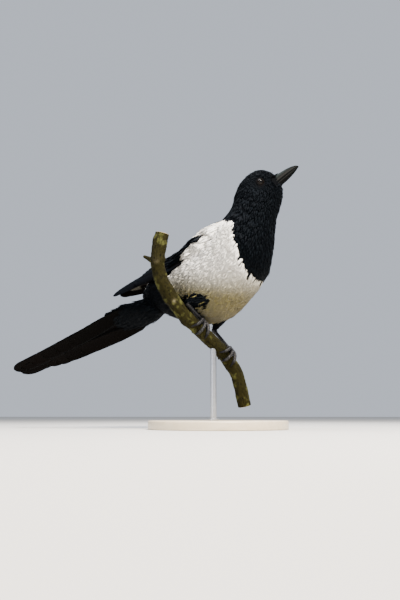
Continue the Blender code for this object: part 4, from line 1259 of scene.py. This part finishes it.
def build_bristles(finish):
    """Stiff feathers that lie forward over the base of the bill and its nostrils."""
    base, along, side, up = bill_frame()
    draw = np.random.default_rng(SEED + 21)
    parts, roots, shades = [], [], []
    for i in range(520):
        turn = radians(draw.uniform(2.0, 178.0))
        high = sin(turn) ** 3
        start = draw.uniform(-13.0, -7.0) + 4.0 * high
        length = draw.uniform(6.0, 8.5) + 4.5 * high
        lean = draw.uniform(-0.12, 0.12)
        route = []
        for share in np.linspace(0.0, 1.0, 5):
            ahead = start + length * share
            row = np.interp(ahead, BILL_SECTIONS[:, 0], np.arange(len(BILL_SECTIONS)))
            ridge, mouth, half = blend_table(BILL_SECTIONS, row)[0][[1, 2, 4]]
            off = 0.1 + (1.5 + 0.9 * high) * sin(turn) * (1.0 - share) * np.clip(-start / 5.0, 0.3, 1.0) + 0.5 * share
            angle = turn + lean * share
            route.append(base + along * ahead + side * (half + off) * cos(angle)
                         + up * (mouth + (ridge - mouth + off) * sin(angle) ** 0.78))
        radii = 0.34 * np.array([0.8, 1.0, 0.85, 0.55, 0.12])
        parts.append(tube(route, radii, 4, up + side * 0.01))
        roots.append(route[0])
        shades.append(draw.uniform(0.0, 1.0))
    thing = new_piece("nasal_bristles", parts, [finish])
    mesh = thing.data
    each = len(mesh.vertices) // len(parts)
    loops = np.empty(len(mesh.loops), dtype=np.int32)
    mesh.loops.foreach_get("vertex_index", loops)
    owner, within = loops // each, loops % each
    own = np.stack([(within // 4) / 4.0, (within % 4) / 3.0], axis=1)
    for name, values in (("vane", own), ("OFBake", root_patches(roots)[owner] + own * 0.003)):
        mesh.uv_layers.new(name=name).data.foreach_set("uv", values.ravel())
    store(mesh, "shade", np.repeat(shades, each))
    settle(thing, "black_plumage")


# Large feathers

class Vanes:
    """Gathers large closed feathers, each with its own place on the piece's map."""

    def __init__(self, across, seed):
        self.across = across
        self.draw = np.random.default_rng(seed)
        self.points, self.faces, self.maps, self.worn = [], [], [], []
        self.marks = {"share": [], "web": [], "pale": [], "shade": [], "reach_mm": []}
        self.count = 0

    def add(self, place, root, tip, half, rows=26, columns=8, thickness=0.65, camber=0.10,
            outer=0.8, sink=0.0, pale=None, plan=VANE_PLAN):
        """Adds one feather between two places, each a length, an offset and a height."""
        root, tip = np.asarray(root, dtype=float), np.asarray(tip, dtype=float)
        cell = 1.0 / self.across
        corner = np.array([self.count % self.across, self.count // self.across]) * cell
        shade = self.draw.uniform(0.0, 1.0)
        start = len(self.points)
        top, low = {}, {}
        ragged = 1.0 - 0.05 * self.draw.random((rows, 2)) ** 3
        for i in range(rows):
            t = 1.0 - (1.0 - i / (rows - 1)) ** 1.25
            middle = root + (tip - root) * t
            wide = half * np.interp(t, *plan)
            for j in range(columns + 1):
                web = -1.0 + 2.0 * j / columns
                side = outer if web > 0.0 else 2.0 - outer
                offset = web * wide * side * (ragged[i, int(web > 0.0)] if abs(web) == 1.0 else 1.0)
                level = (middle[2] - camber * half * web * web
                         - sink * max(0.0, 1.0 - t / 0.35) ** 2)
                shaft = 1.0 if j * 2 == columns else 0.0
                edge = i in (0, rows - 1) or j in (0, columns)
                fat = 0.0 if edge else thickness * 0.32 * (1.0 - 0.6 * abs(web)) + 0.3 * thickness * shaft * (1.0 - t)
                mark = (t, web, pale(t, web) if pale else 0.0, shade,
                        float(np.linalg.norm(tip - root)))
                top[i, j] = len(self.points)
                self.points.append(place(middle[0], middle[1] + offset, level + fat))
                self._mark(mark)
                if edge:
                    low[i, j] = top[i, j]
                else:
                    low[i, j] = len(self.points)
                    self.points.append(place(middle[0], middle[1] + offset, level - fat * 1.2))
                    self._mark(mark)
        for i in range(rows - 1):
            for j in range(columns):
                spots = ((i, j), (i + 1, j), (i + 1, j + 1), (i, j + 1))
                for grid, kind, ways in ((top, 0, spots), (low, 1, spots[::-1])):
                    face = [grid[spot] for spot in ways]
                    self.faces.append(tuple(face))
                    self.worn.append(kind)
                    for a, b in ways:
                        self.maps.append(corner + cell * np.array([
                            0.04 + 0.44 * b / columns + 0.48 * kind, 0.04 + 0.92 * a / (rows - 1)]))
        self.count += 1
        return start

    def _mark(self, values):
        for name, value in zip(self.marks, values):
            self.marks[name].append(value)

    def piece(self, name, materials):
        """Makes the object."""
        mesh = bpy.data.meshes.new(name)
        mesh.from_pydata((np.array(self.points) * MM).tolist(), [], self.faces)
        for material in materials:
            mesh.materials.append(material)
        mesh.polygons.foreach_set("material_index", self.worn)
        mesh.polygons.foreach_set("use_smooth", [True] * len(self.faces))
        layer = mesh.uv_layers.new(name="OFBake")
        layer.data.foreach_set("uv", np.array(self.maps).ravel())
        for mark, values in self.marks.items():
            store(mesh, mark, np.array(values))
        thing = bpy.data.objects.new(name, mesh)
        bpy.context.scene.collection.objects.link(thing)
        return thing


def build_wing(label, side, upper, under):
    """Flight feathers in a stack, then two rows of coverts over their roots."""
    flat = placer(wing_frame(side), WING_BEND, 0.0)

    def place(length, offset, height):
        # The far wing's tip lies a little higher
        return flat(length, offset, height + (0.14 * max(0.0, length - 75.0) if side > 0 else 0.0))
    vanes = Vanes(7, SEED + 3 + side)

    def inner_white(t, web):
        return 0.5 if web < -0.35 and 0.68 < t < 0.8 else 0.0
    for rank in range(9):
        height = 0.3 + 0.27 * rank
        vanes.add(place, (60.0, 11.0 - 1.0 * rank, height),
                  (WING_LENGTH - 0.9 * rank - 0.62 * rank ** 2, 3.5 - 0.75 * rank, height),
                  6.6, outer=0.6, sink=2.0, pale=inner_white, plan=TAIL_PLAN)
    for rank in range(9):
        offset = 12.0 - 3.1 * rank
        start = float(np.interp(offset, TUCK_LINE[1][2:], TUCK_LINE[0][2:])) - 4.0
        vanes.add(place, (start, offset, cover_height(offset) - 1.3 + 0.05 * rank),
                  (109.0 - 4.1 * rank, 8.0 - 3.4 * rank, 2.95 + 0.42 * rank), 7.0, outer=0.75, sink=3.0)
    for rank in range(8):
        offset = 12.0 - 3.8 * rank
        height = cover_height(offset) - 0.9 + 0.08 * rank
        start = float(np.interp(offset, TUCK_LINE[1][2:], TUCK_LINE[0][2:])) - 8.0
        vanes.add(place, (start, offset, height), (66.0 - 1.6 * rank, offset + 1.5, height + 0.3), 4.4,
                  rows=16, columns=6, sink=2.6)
    for rank in range(7):
        offset = -1.0 - 2.6 * rank
        height = cover_height(offset) - 0.3 + 0.08 * rank
        start = float(np.interp(offset, TUCK_LINE[1][2:], TUCK_LINE[0][2:])) - 6.0
        vanes.add(place, (start, offset - 1.5, height - 0.4),
                  (max(43.0 - 1.4 * rank, start + 16.0), offset + 1.0, height + 0.2), 3.6, rows=14,
                  columns=6, sink=2.6)
    return vanes.piece("wing_feathers_" + label, (upper, under))


def build_tail(upper, under):
    """Twelve graduated tail feathers, the central pair on top."""
    place = placer(tail_frame(), 0.0, 0.0)
    vanes = Vanes(5, SEED + 9)
    for rank in range(6):
        for side in (-1, 1):
            share, root, tip = TAIL_FAN[side][rank]
            height = 0.4 - 0.55 * rank - (0.27 if side < 0 else 0.0)
            vanes.add(place, (20.0, root, height), (TAIL_LENGTH * share, tip, height),
                      TAIL_FEATHER_HALF, rows=48, columns=12, thickness=0.3, camber=0.05,
                      outer=1.0 - 0.08 * side * (rank > 0), plan=TAIL_PLAN)
    return vanes.piece("tail_feathers", (upper, under))


# Bill, eyes, legs, branch and stand

def build_bill_half(name, is_upper, material):
    """One half of the bill, with a ridge, a cutting edge and a blunt closed base."""
    base, along, side, up = bill_frame()
    steps = 20
    rows = np.linspace(0, len(BILL_SECTIONS) - 1, 60)
    rings, far, flank = [], [], []
    for row in rows:
        ahead, ridge, mouth, keel, half_width = blend_table(BILL_SECTIONS, row)[0]
        edge = mouth + (GAP / 2 if is_upper else -GAP / 2)
        rim = ridge if is_upper else keel
        share = np.clip((ahead + 7.5) / 40.9, 0.0, 1.0)
        ring = []
        for k in range(steps + 1):
            angle = pi * k / steps
            height = edge + (rim - edge) * sin(angle) ** 0.78
            width = half_width * cos(angle) * (1.0 - 0.05 * sin(angle))
            ring.append(base + along * ahead + side * width + up * height)
            far.append(share)
            # The side band of the upper half carries the painted sheen
            flank.append(max(0.0, 1.0 - abs(sin(angle) - 0.72) * 3.2) if is_upper else 0.0)
        ring.append(base + along * ahead + up * edge)
        far.append(share)
        flank.append(0.0)
        rings.append(ring)
    thing = new_piece(name, [loft(rings)], [material])
    store(thing.data, "along", far)
    store(thing.data, "flank", flank)
    return thing


def build_eye(label, side, material):
    """An eyeball with a slight corneal bulge, marked by the angle from its axis."""
    centre, outward = eye_place(side)
    form = bmesh.new()
    bmesh.ops.create_uvsphere(form, u_segments=48, v_segments=32, radius=EYE_RADIUS)
    turn = Vector((0.0, 0.0, 1.0)).rotation_difference(Vector(outward)).to_matrix().to_4x4()
    angles = []
    for vertex in form.verts:
        angle = vertex.co.angle(Vector((0.0, 0.0, 1.0)))
        vertex.co *= 1.0 + 0.05 * max(0.0, cos(angle)) ** 4
        angles.append(angle)
    bmesh.ops.transform(form, matrix=Matrix.Translation(Vector(centre)) @ turn, verts=form.verts)
    bmesh.ops.scale(form, vec=(MM, MM, MM), verts=form.verts)
    mesh = bpy.data.meshes.new("eyeball_" + label)
    form.to_mesh(mesh)
    form.free()
    mesh.materials.append(material)
    mesh.polygons.foreach_set("use_smooth", [True] * len(mesh.polygons))
    store(mesh, "from_axis", angles)
    thing = bpy.data.objects.new("eyeball_" + label, mesh)
    bpy.context.scene.collection.objects.link(thing)
    return thing


def toe_route(foot, start, end, shift_start, shift_end, radius_start, radius_end, count):
    """Points of a toe or claw that wraps round the branch."""
    centre, along, standing, forward = foot
    points = []
    for i in range(count):
        share = i / (count - 1)
        angle = start + (end - start) * share
        distance = PERCH_RADIUS * PERCH_SWELL + GAP + radius_start + (radius_end - radius_start) * share
        points.append(centre + along * (shift_start + (shift_end - shift_start) * share)
                      + distance * (standing * cos(angle) + forward * sin(angle)))
    return np.array(points)


def saw(share, teeth):
    """A saw line from 0 to 1 that falls at each tooth."""
    return (share * teeth) % 1.0


def scaled_tube(route, radii, teeth, upward, relief, pads):
    """A toe or shank with overlapping plates in front and pads behind, and its pale edge marks, partly painted
    highlight.
    """
    count = len(route)

    def shape(i, angle):
        front = max(0.0, cos(angle)) ** 0.5
        back = max(0.0, -cos(angle))
        share = i / (count - 1)
        return (1.0 + relief * (saw(share, teeth) - 0.5) * front
                + pads * abs(sin(pi * teeth * 0.4 * share)) * back - 0.10 * sin(angle) ** 2)
    points, faces = tube(route, radii, 16, upward, shape)
    pale_edge_glints = []
    # Pale edges of the front plates: partly worn tone, partly painted highlight
    for i in range(count):
        for k in range(16):
            near = saw(i / (count - 1), teeth) > 0.7
            pale_edge_glints.append(0.65 if near and cos(tau * k / 16) > 0.1 else 0.0)
    return points, faces, pale_edge_glints


def rounded_end(route, radii, lead=4):
    """Adds closing rings to a bar, so its end is a dome."""
    step = route[-1] - route[-2]
    step = unit(step)
    extra, less = [], []
    for k in range(1, lead + 1):
        angle = pi / 2 * k / lead
        extra.append(route[-1] + step * radii[-1] * sin(angle))
        less.append(max(radii[-1] * cos(angle), 0.05))
    return np.concatenate([route, extra]), np.concatenate([radii, less])


def build_leg(label, material, horn):
    """The scaled shank, the toes round the branch, and the claws."""
    foot = perch_frame(FOOT_SHARE[label])
    hub = foot[0] + foot[2] * (PERCH_RADIUS * PERCH_SWELL + GAP + TOE_RADIUS + 0.4)
    heel = HEEL[label]
    shares = np.linspace(0.0, 1.0, 90)
    route = heel + (hub - heel) * shares[:, None]
    radii = TARSUS_RADIUS * np.maximum(1.45 - 2.2 * shares, 1.0)
    radii = np.where(shares > 0.88, radii * (1.0 + 1.6 * (shares - 0.88)), radii)
    points, faces, pale_edge_glints = scaled_tube(route, radii, 11, foot[3], 0.16, 0.0)
    shank = new_piece("shank_" + label, [(points, faces)], [material])
    store(shank.data, "rim", pale_edge_glints)
    settle(shank, "scaled_skin", "tarsus_" + label)

    parts, pale_edge_glints = [], []
    for row in TOES:
        start, end, shift = row[1:4]
        route = toe_route(foot, start, end, shift * 0.2, shift, TOE_RADIUS, TOE_RADIUS * 0.8, 54)
        radii = TOE_RADIUS * (1.0 - 0.2 * np.linspace(0.0, 1.0, 54))
        route, radii = rounded_end(route, radii)
        outward = unit(route[0] - foot[0])
        points, faces, marks = scaled_tube(route, radii, 9 if row[0] != "back" else 5, outward,
                                           0.18, 0.10)
        parts.append((points, faces))
        pale_edge_glints += marks
    form = bmesh.new()
    bmesh.ops.create_icosphere(form, subdivisions=3, radius=TOE_RADIUS + 0.8)
    ball = np.array([hub + np.array(v.co) for v in form.verts])
    parts.append((ball, [tuple(v.index for v in f.verts) for f in form.faces]))
    form.free()
    pale_edge_glints += [0.1] * len(ball)
    toes = new_piece("toe_scales_" + label, parts, [material])
    store(toes.data, "rim", pale_edge_glints)
    settle(toes, "scaled_skin", "toes_" + label)

    reach = PERCH_RADIUS * PERCH_SWELL + TOE_RADIUS
    for row in TOES:
        end, shift, further = row[2:5]
        clear = np.sign(further) * 2.0 * GAP / reach
        drift = 0.8 * shift / (end - row[1])
        route = toe_route(foot, end + clear, end + further, shift + drift * clear,
                          shift + drift * further, CLAW_RADIUS, CLAW_TIP, 26)
        shares = np.linspace(0.0, 1.0, 26)
        radii = CLAW_RADIUS * (1.0 - 0.85 * shares ** 1.3)
        route, radii = rounded_end(route, radii)
        claw = new_piece("talon_" + row[0] + "_" + label, [tube(route, radii, 14, foot[1])], [horn])
        store(claw.data, "along", np.zeros(len(claw.data.vertices)))
        store(claw.data, "flank", np.zeros(len(claw.data.vertices)))
        settle(claw, "horn", "claw_" + row[0] + "_" + label)


def perch_relief(point, angle, along):
    """Relative radius of the bark: lengthwise ridges, soft swellings and warts."""
    slow = noise.noise(Vector((along * 0.045, 3.1, 0.0)))
    ridge = noise.noise(Vector((along * 0.10, cos(angle) * 1.9, sin(angle) * 1.9)))
    fine = noise.noise(Vector((along * 0.42, cos(angle) * 5.5, sin(angle) * 5.5)))
    return 1.0 + 0.06 * slow + 0.08 * ridge + 0.06 * fine


def build_perch(bark, cut):
    """The cut branch with bark relief, a knot, a twig stub, a scar and sawn ends."""
    count, sides = 260, 56
    route = smooth_route(PERCH_ROUTE, count)
    step = np.linalg.norm(route[1] - route[0])

    def shape(i, angle):
        return perch_relief(route[i], angle, i * step)
    points, faces = tube(route, np.full(count, PERCH_RADIUS), sides, (1.0, 0.0, 0.0), shape)
    points = points.reshape(count, sides, 3)
    points[:2] = points[:1] * 0.0 + points[2][None] - (route[2] - route[:2])[:, None, :]
    centre = perch_frame(KNOT_SHARE)[0]
    knot = centre + np.array([1.2, -6.2, 0.6])
    flat = points.reshape(-1, 3)
    middle = np.repeat(route, sides, axis=0)
    gap = np.linalg.norm(flat - knot, axis=1)
    swell = 2.6 * np.exp(-(gap / 5.5) ** 2) - 2.0 * np.exp(-(gap / 2.2) ** 2)
    for share, way, height, reach in SWELLINGS:
        spot = perch_frame(share)[0] + unit(way) * PERCH_RADIUS
        swell = swell + height * np.exp(-(np.linalg.norm(flat - spot, axis=1) / reach) ** 2)
    flat = flat + unit(flat - middle) * swell[:, None]
    scar_place = perch_frame(0.66)[0] + np.array([2.0, -7.2, 0.0])
    scar = 0.8 * np.exp(-(np.linalg.norm(flat - scar_place, axis=1) / 1.9) ** 2)
    scar = np.maximum(scar, 0.35 * np.exp(-(gap / 2.4) ** 2))
    flat = flat - unit(flat - middle) * (0.7 * scar)[:, None]
    around, along = np.tile(np.arange(sides), count), np.repeat(np.arange(count), sides)
    ring = np.zeros(len(flat))
    cuts = []
    for index, way in ((0, -1.0), (count - 1, 1.0)):
        start = len(flat)
        inner = []
        for share in (0.93, 0.7, 0.45, 0.2):
            edge = flat.reshape(-1, 3)[index * sides:(index + 1) * sides]
            lift = unit(route[index] - route[abs(index - 1)]) * (0.25 if share > 0.9 else 0.35)
            inner.append(route[index] + (edge - route[index]) * share + lift)
        block = np.concatenate(inner)
        cuts.append((index, start, block, way))
        flat = np.concatenate([flat, block, route[index][None] + lift])
        ring = np.concatenate([ring, np.repeat((0.93, 0.7, 0.45, 0.2), sides), [0.0]])
    faces = faces[:-2]
    worn = [0] * len(faces)
    for index, start, block, way in cuts:
        edges = [list(range(index * sides, (index + 1) * sides))]
        edges += [list(range(start + r * sides, start + (r + 1) * sides)) for r in range(4)]
        tip = start + 4 * sides
        for r in range(4):
            for k in range(sides):
                n = (k + 1) % sides
                faces.append((edges[r][k], edges[r][n], edges[r + 1][n], edges[r + 1][k]))
                worn.append(1)
        for k in range(sides):
            faces.append((edges[4][k], edges[4][(k + 1) % sides], tip))
            worn.append(1)
    mesh = bpy.data.meshes.new("branch")
    mesh.from_pydata((flat * MM).tolist(), [], faces)
    mesh.materials.append(bark)
    mesh.materials.append(cut)
    mesh.polygons.foreach_set("material_index", worn)
    mesh.polygons.foreach_set("use_smooth", [True] * len(faces))
    layer = mesh.uv_layers.new(name="bark")
    loops = np.empty(len(mesh.loops), dtype=np.int32)
    mesh.loops.foreach_get("vertex_index", loops)
    length = np.concatenate([along * step, np.zeros(len(flat) - len(along))])
    angle = np.concatenate([around / sides, np.zeros(len(flat) - len(around))])
    turn = angle[loops] * tau
    # The bark's map is in millimetres along and round the branch
    layer.data.foreach_set("uv", np.stack([length[loops], PERCH_RADIUS * np.abs(turn - pi)], axis=1).ravel())
    form = bmesh.new()
    form.from_mesh(mesh)
    bmesh.ops.recalc_face_normals(form, faces=form.faces)
    form.to_mesh(mesh)
    form.free()
    store(mesh, "scar", np.concatenate([scar, np.zeros(len(flat) - len(scar))]))
    store(mesh, "ring", ring)
    branch = bpy.data.objects.new("branch", mesh)
    bpy.context.scene.collection.objects.link(branch)
    settle(branch, "bark", "perch")

    stub_route = np.array([centre + STUB_DIRECTION * reach for reach in np.linspace(2.0, 16.5, 24)])
    stub_radii = np.interp(np.linspace(2.0, 16.5, 24), (2.0, 9.0, 13.0, 17.0), (4.0, 3.0, 2.2, 1.6))

    def stub_shape(i, angle):
        return 1.0 + 0.12 * noise.noise(Vector((i * 0.4, cos(angle) * 2.0, sin(angle) * 2.0)))
    stub_route, stub_radii = rounded_end(stub_route, stub_radii)
    stub = new_piece("twig_stub", [tube(stub_route, stub_radii, 18, (0.0, 0.0, 1.0), stub_shape)], [bark])
    stub.data.uv_layers.new(name="bark")
    loops = np.empty(len(stub.data.loops), dtype=np.int32)
    stub.data.loops.foreach_get("vertex_index", loops)
    stub.data.uv_layers["bark"].data.foreach_set("uv", np.stack(
        [loops // 18 * 0.6, (loops % 18) * 0.9], axis=1).ravel())
    store(stub.data, "scar", np.zeros(len(stub.data.vertices)))
    settle(stub, "bark")


def disc_part(radius, levels, sides):
    """An upright round form through levels of radius and height."""
    return loft([[(reach * cos(tau * k / sides), reach * sin(tau * k / sides), height)
                  for k in range(sides)] for reach, height in levels])


def build_stand(wood, steel):
    """The round base with a rounded edge and the rod up to the branch."""
    levels = [(BASE_RADIUS - 1.2, 0.0), (BASE_RADIUS - 0.3, 0.4), (BASE_RADIUS, 1.2)]
    for k in range(9):
        angle = pi / 2 * k / 8
        levels.append((BASE_RADIUS - BASE_BEVEL * (1.0 - cos(angle)),
                       BASE_HEIGHT - BASE_BEVEL + BASE_BEVEL * sin(angle)))
    levels.append((BASE_RADIUS * 0.5, BASE_HEIGHT))
    levels.append((4.6, BASE_HEIGHT))
    base = new_piece("stand_plate", [disc_part(BASE_RADIUS, levels, 128)], [wood])
    settle(base, "stand", "stand_base")
    foot = perch_frame(ROD_SHARE)[0]
    collar = 6.5
    levels = [(ROD_RADIUS, 5.2), (ROD_RADIUS, BASE_HEIGHT + 0.05), (collar, BASE_HEIGHT + 0.05),
              (collar, BASE_HEIGHT + 1.5), (collar - 0.6, BASE_HEIGHT + 2.2), (ROD_RADIUS, BASE_HEIGHT + 2.4)]
    levels += [(ROD_RADIUS, z) for z in np.linspace(BASE_HEIGHT + 4.0, foot[2], 14)]
    points, faces = disc_part(ROD_RADIUS, levels, 48)
    points = points + np.array([foot[0], foot[1], 0.0])
    rod = new_piece("stand_post", [(points, faces)], [steel])
    rod.data.set_sharp_from_angle(angle=radians(40.0))
    settle(rod, "rod", "stand_rod")


# Operators

class MAGPIE_OT_skin(bpy.types.Operator):
    """Makes the skin under the plumage, with the lids"""
    bl_idname = "magpie.skin"
    bl_label = "Skin and lids"

    def execute(self, context):
        skin = build_skin()
        unwrap(skin, "OFBake")
        skin.data.materials.append(skin_material())
        settle(skin, "black_plumage", "head", "neck", "torso", "wing_right", "wing_left", "tail",
               "thigh_right", "thigh_left")
        lids = new_piece("eyelids", [part[:2] for part in (lid_part(-1), lid_part(1))], [lid_material()])
        settle(lids, "scaled_skin")
        return {"FINISHED"}


class MAGPIE_OT_coat(bpy.types.Operator):
    """Sets the small feathers on the skin, region by region"""
    bl_idname = "magpie.coat"
    bl_label = "Small feathers"

    def execute(self, context):
        s = sizes()
        feather_set("contour", CONTOUR_EDGE, 0.09, 0.12)
        feather_set("plume", PLUME_EDGE, 0.045, 0.045)
        feather_set("lock", LOCK_EDGE, 0.09, 0.08)
        black, white = black_plumage(), white_plumage()
        grey_rump, gloss = rump_plumage(), glossy_coverts()
        dark, pale, shiny = "black_plumage", "white_plumage", "glossy_plumage"
        scatter("coat_head", "in_head", s.head_spacing, "contour", black, dark, width=0.42)
        scatter("coat_neck", "in_neck", s.neck_spacing, "contour", black, dark, width=0.34, lift=0.8)
        scatter("coat_bib_edge", "in_bib_edge", s.head_spacing, "contour", black, dark, width=0.5,
                lift=0.6, disorder=0.05)
        scatter("coat_mantle", "in_mantle", s.back_spacing, "contour", black, dark, width=0.6)
        scatter("coat_scapulars", "in_scapulars", s.back_spacing, "contour", white, pale, width=0.45,
                lift=0.8)
        scatter("coat_flank_right", "in_flank_right", s.flank_spacing, "plume", white, pale, width=0.22,
                lift=0.5, disorder=0.03)
        scatter("coat_flank_left", "in_flank_left", s.flank_spacing, "plume", white, pale, width=0.22,
                lift=0.5, disorder=0.03)
        scatter("coat_rump", "in_rump", s.back_spacing, "plume", grey_rump, pale, width=0.4)
        scatter("coat_vent", "in_vent", s.neck_spacing, "plume", black, dark, width=0.35, lift=0.6)
        scatter("coat_tail_coverts", "in_tail_coverts", s.neck_spacing, "contour", gloss, shiny,
                width=0.3, lift=0.3, disorder=0.03)
        scatter("coat_thighs", "in_thighs", s.head_spacing, "lock", black, dark, width=0.25)
        scatter("coat_wing_coverts", "in_wing_coverts", s.neck_spacing, "contour", gloss, shiny,
                width=0.5, lift=0.5, disorder=0.05)
        build_bristles(black)
        return {"FINISHED"}


class MAGPIE_OT_flight(bpy.types.Operator):
    """Makes the flight feathers of both wings and the tail"""
    bl_idname = "magpie.flight"
    bl_label = "Wing and tail feathers"

    def execute(self, context):
        c = colours()
        # The wing vanes turn from brown to blue along their length: the blue is painted gloss, with only a faint
        # metallic
        wing = vane_material("blue glossed flight feathers", linear("#060403"), linear("#04060a"), 0.62, 0.02,
                             0.015)
        tail = vane_material("green glossed tail feathers", linear("#060a0a"), tuple(c.green), 0.34, 0.5,
                             0.15)
        under = vane_material("brown black feather undersides", tuple(c.under), linear("#050302"),
                              0.6, 0.0, 0.015)
        for label, side in (("right", -1), ("left", 1)):
            settle(build_wing(label, side, wing, under), "glossy_plumage", "wing_" + label)
        settle(build_tail(tail, under), "glossy_plumage", "tail")
        return {"FINISHED"}


class MAGPIE_OT_face(bpy.types.Operator):
    """Makes the bill and the eyes"""
    bl_idname = "magpie.face"
    bl_label = "Bill and eyes"

    def execute(self, context):
        horn = horn_material("polished bill horn", tuple(colours().bill), 0.6, True)
        settle(build_bill_half("bill_sheath_upper", True, horn), "horn", "bill_upper")
        settle(build_bill_half("bill_sheath_lower", False, horn), "horn", "bill_lower")
        wet = eye_material()
        for label, side in (("right", -1), ("left", 1)):
            settle(build_eye(label, side, wet), "eye", "eye_" + label)
        return {"FINISHED"}


class MAGPIE_OT_legs(bpy.types.Operator):
    """Makes the shanks, toes and claws"""
    bl_idname = "magpie.legs"
    bl_label = "Legs and claws"

    def execute(self, context):
        scales = scale_material()
        horn = horn_material("black claw horn", linear("#15151a"), 0.34, False)
        for label in ("right", "left"):
            build_leg(label, scales, horn)
        return {"FINISHED"}


class MAGPIE_OT_branch(bpy.types.Operator):
    """Makes the cut branch that the feet grip"""
    bl_idname = "magpie.branch"
    bl_label = "Branch"

    def execute(self, context):
        build_perch(bark_material(), cut_material())
        return {"FINISHED"}


class MAGPIE_OT_stand(bpy.types.Operator):
    """Makes the plain round base and its rod"""
    bl_idname = "magpie.stand"
    bl_label = "Display stand"

    def execute(self, context):
        build_stand(stand_material(), steel_material())
        return {"FINISHED"}


class MAGPIE_OT_stage(bpy.types.Operator):
    """Makes the floor, the lights and the camera"""
    bl_idname = "magpie.stage"
    bl_label = "Floor, lights and camera"

    def execute(self, context):
        floor_finish, tree, shader = new_material("matt floor", colours().floor, 0.9,
                                                  Specular_IOR_Level=0.2)
        cloud = add_node(tree, "ShaderNodeTexNoise", feeds={
            "Vector": add_node(tree, "ShaderNodeTexCoord").outputs["Object"], "Scale": 3.0})
        tree.links.new(mix(tree, calculate(tree, "MULTIPLY", cloud.outputs[0], 0.15),
                           tuple(colours().floor), linear("#d5d3ce")), shader.inputs["Base Color"])
        reach = 12000.0
        floor = new_piece("floor", [([(-reach, -reach, 0.0), (reach, -reach, 0.0), (reach, reach, 0.0),
                                      (-reach, reach, 0.0)], [(0, 1, 2, 3)])], [floor_finish])
        for name, place, power, width, tone in (
                ("key", (0.48, -0.60, 0.95), 66.0, 0.36, "#fff4e6"),
                ("top", (-0.12, -0.06, 0.86), 11.0, 0.5, "#f4f7ff"),
                ("fill", (-0.55, -0.75, 0.10), 0.8, 0.16, "#e8eeff"),
                ("rim", (0.15, 0.75, 0.7), 4.0, 0.5, "#eef3ff")):
            light = bpy.data.lights.new(name, "AREA")
            light.energy = power
            light.size = width
            light.color = linear(tone)[:3]
            lamp = bpy.data.objects.new(name, light)
            lamp.location = place
            aim = Vector((0.0, 0.0, 0.19)) - Vector(place)
            lamp.rotation_euler = aim.to_track_quat("-Z", "Y").to_euler()
            bpy.context.scene.collection.objects.link(lamp)
        world = bpy.data.worlds.new("soft studio")
        world.use_nodes = True
        world.node_tree.nodes["Background"].inputs[0].default_value = linear("#dfe7f4")
        world.node_tree.nodes["Background"].inputs[1].default_value = 0.8
        context.scene.world = world
        data = bpy.data.cameras.new("photo view")
        data.lens = CAMERA_LENS
        data.sensor_width = 36.0
        data.clip_start = 0.01
        camera = bpy.data.objects.new("photo view", data)
        camera.location = CAMERA_PLACE
        look = Vector((-sin(CAMERA_TURN) * cos(CAMERA_RISE), cos(CAMERA_TURN) * cos(CAMERA_RISE),
                       sin(CAMERA_RISE)))
        camera.rotation_euler = look.to_track_quat("-Z", "Y").to_euler()
        bpy.context.scene.collection.objects.link(camera)
        bpy.context.scene.camera = camera
        return {"FINISHED"}


class MAGPIE_PT_panel(bpy.types.Panel):
    """Lists the steps, sizes and colours"""
    bl_label = "Magpie"
    bl_idname = "MAGPIE_PT_panel"
    bl_space_type = "VIEW_3D"
    bl_region_type = "UI"
    bl_category = "Magpie"

    def draw(self, context):
        for step in STEPS:
            self.layout.operator(step.bl_idname)
        for group in (context.scene.magpie_sizes, context.scene.magpie_colours):
            for name in group.__annotations__:
                self.layout.prop(group, name)


STEPS = (MAGPIE_OT_skin, MAGPIE_OT_coat, MAGPIE_OT_flight, MAGPIE_OT_face, MAGPIE_OT_legs,
         MAGPIE_OT_branch, MAGPIE_OT_stand, MAGPIE_OT_stage)
CLASSES = (MagpieSizes, MagpieColours, *STEPS, MAGPIE_PT_panel)


def register():
    for item in CLASSES:
        bpy.utils.register_class(item)
    bpy.types.Scene.magpie_sizes = PointerProperty(type=MagpieSizes)
    bpy.types.Scene.magpie_colours = PointerProperty(type=MagpieColours)


def unregister():
    del bpy.types.Scene.magpie_sizes
    del bpy.types.Scene.magpie_colours
    for item in reversed(CLASSES):
        bpy.utils.unregister_class(item)


def main():
    """Builds every piece in order."""
    register()
    bpy.ops.magpie.skin()
    bpy.ops.magpie.coat()
    bpy.ops.magpie.flight()
    bpy.ops.magpie.face()
    bpy.ops.magpie.legs()
    bpy.ops.magpie.branch()
    bpy.ops.magpie.stand()
    bpy.ops.magpie.stage()


if __name__ == "__main__":
    main()
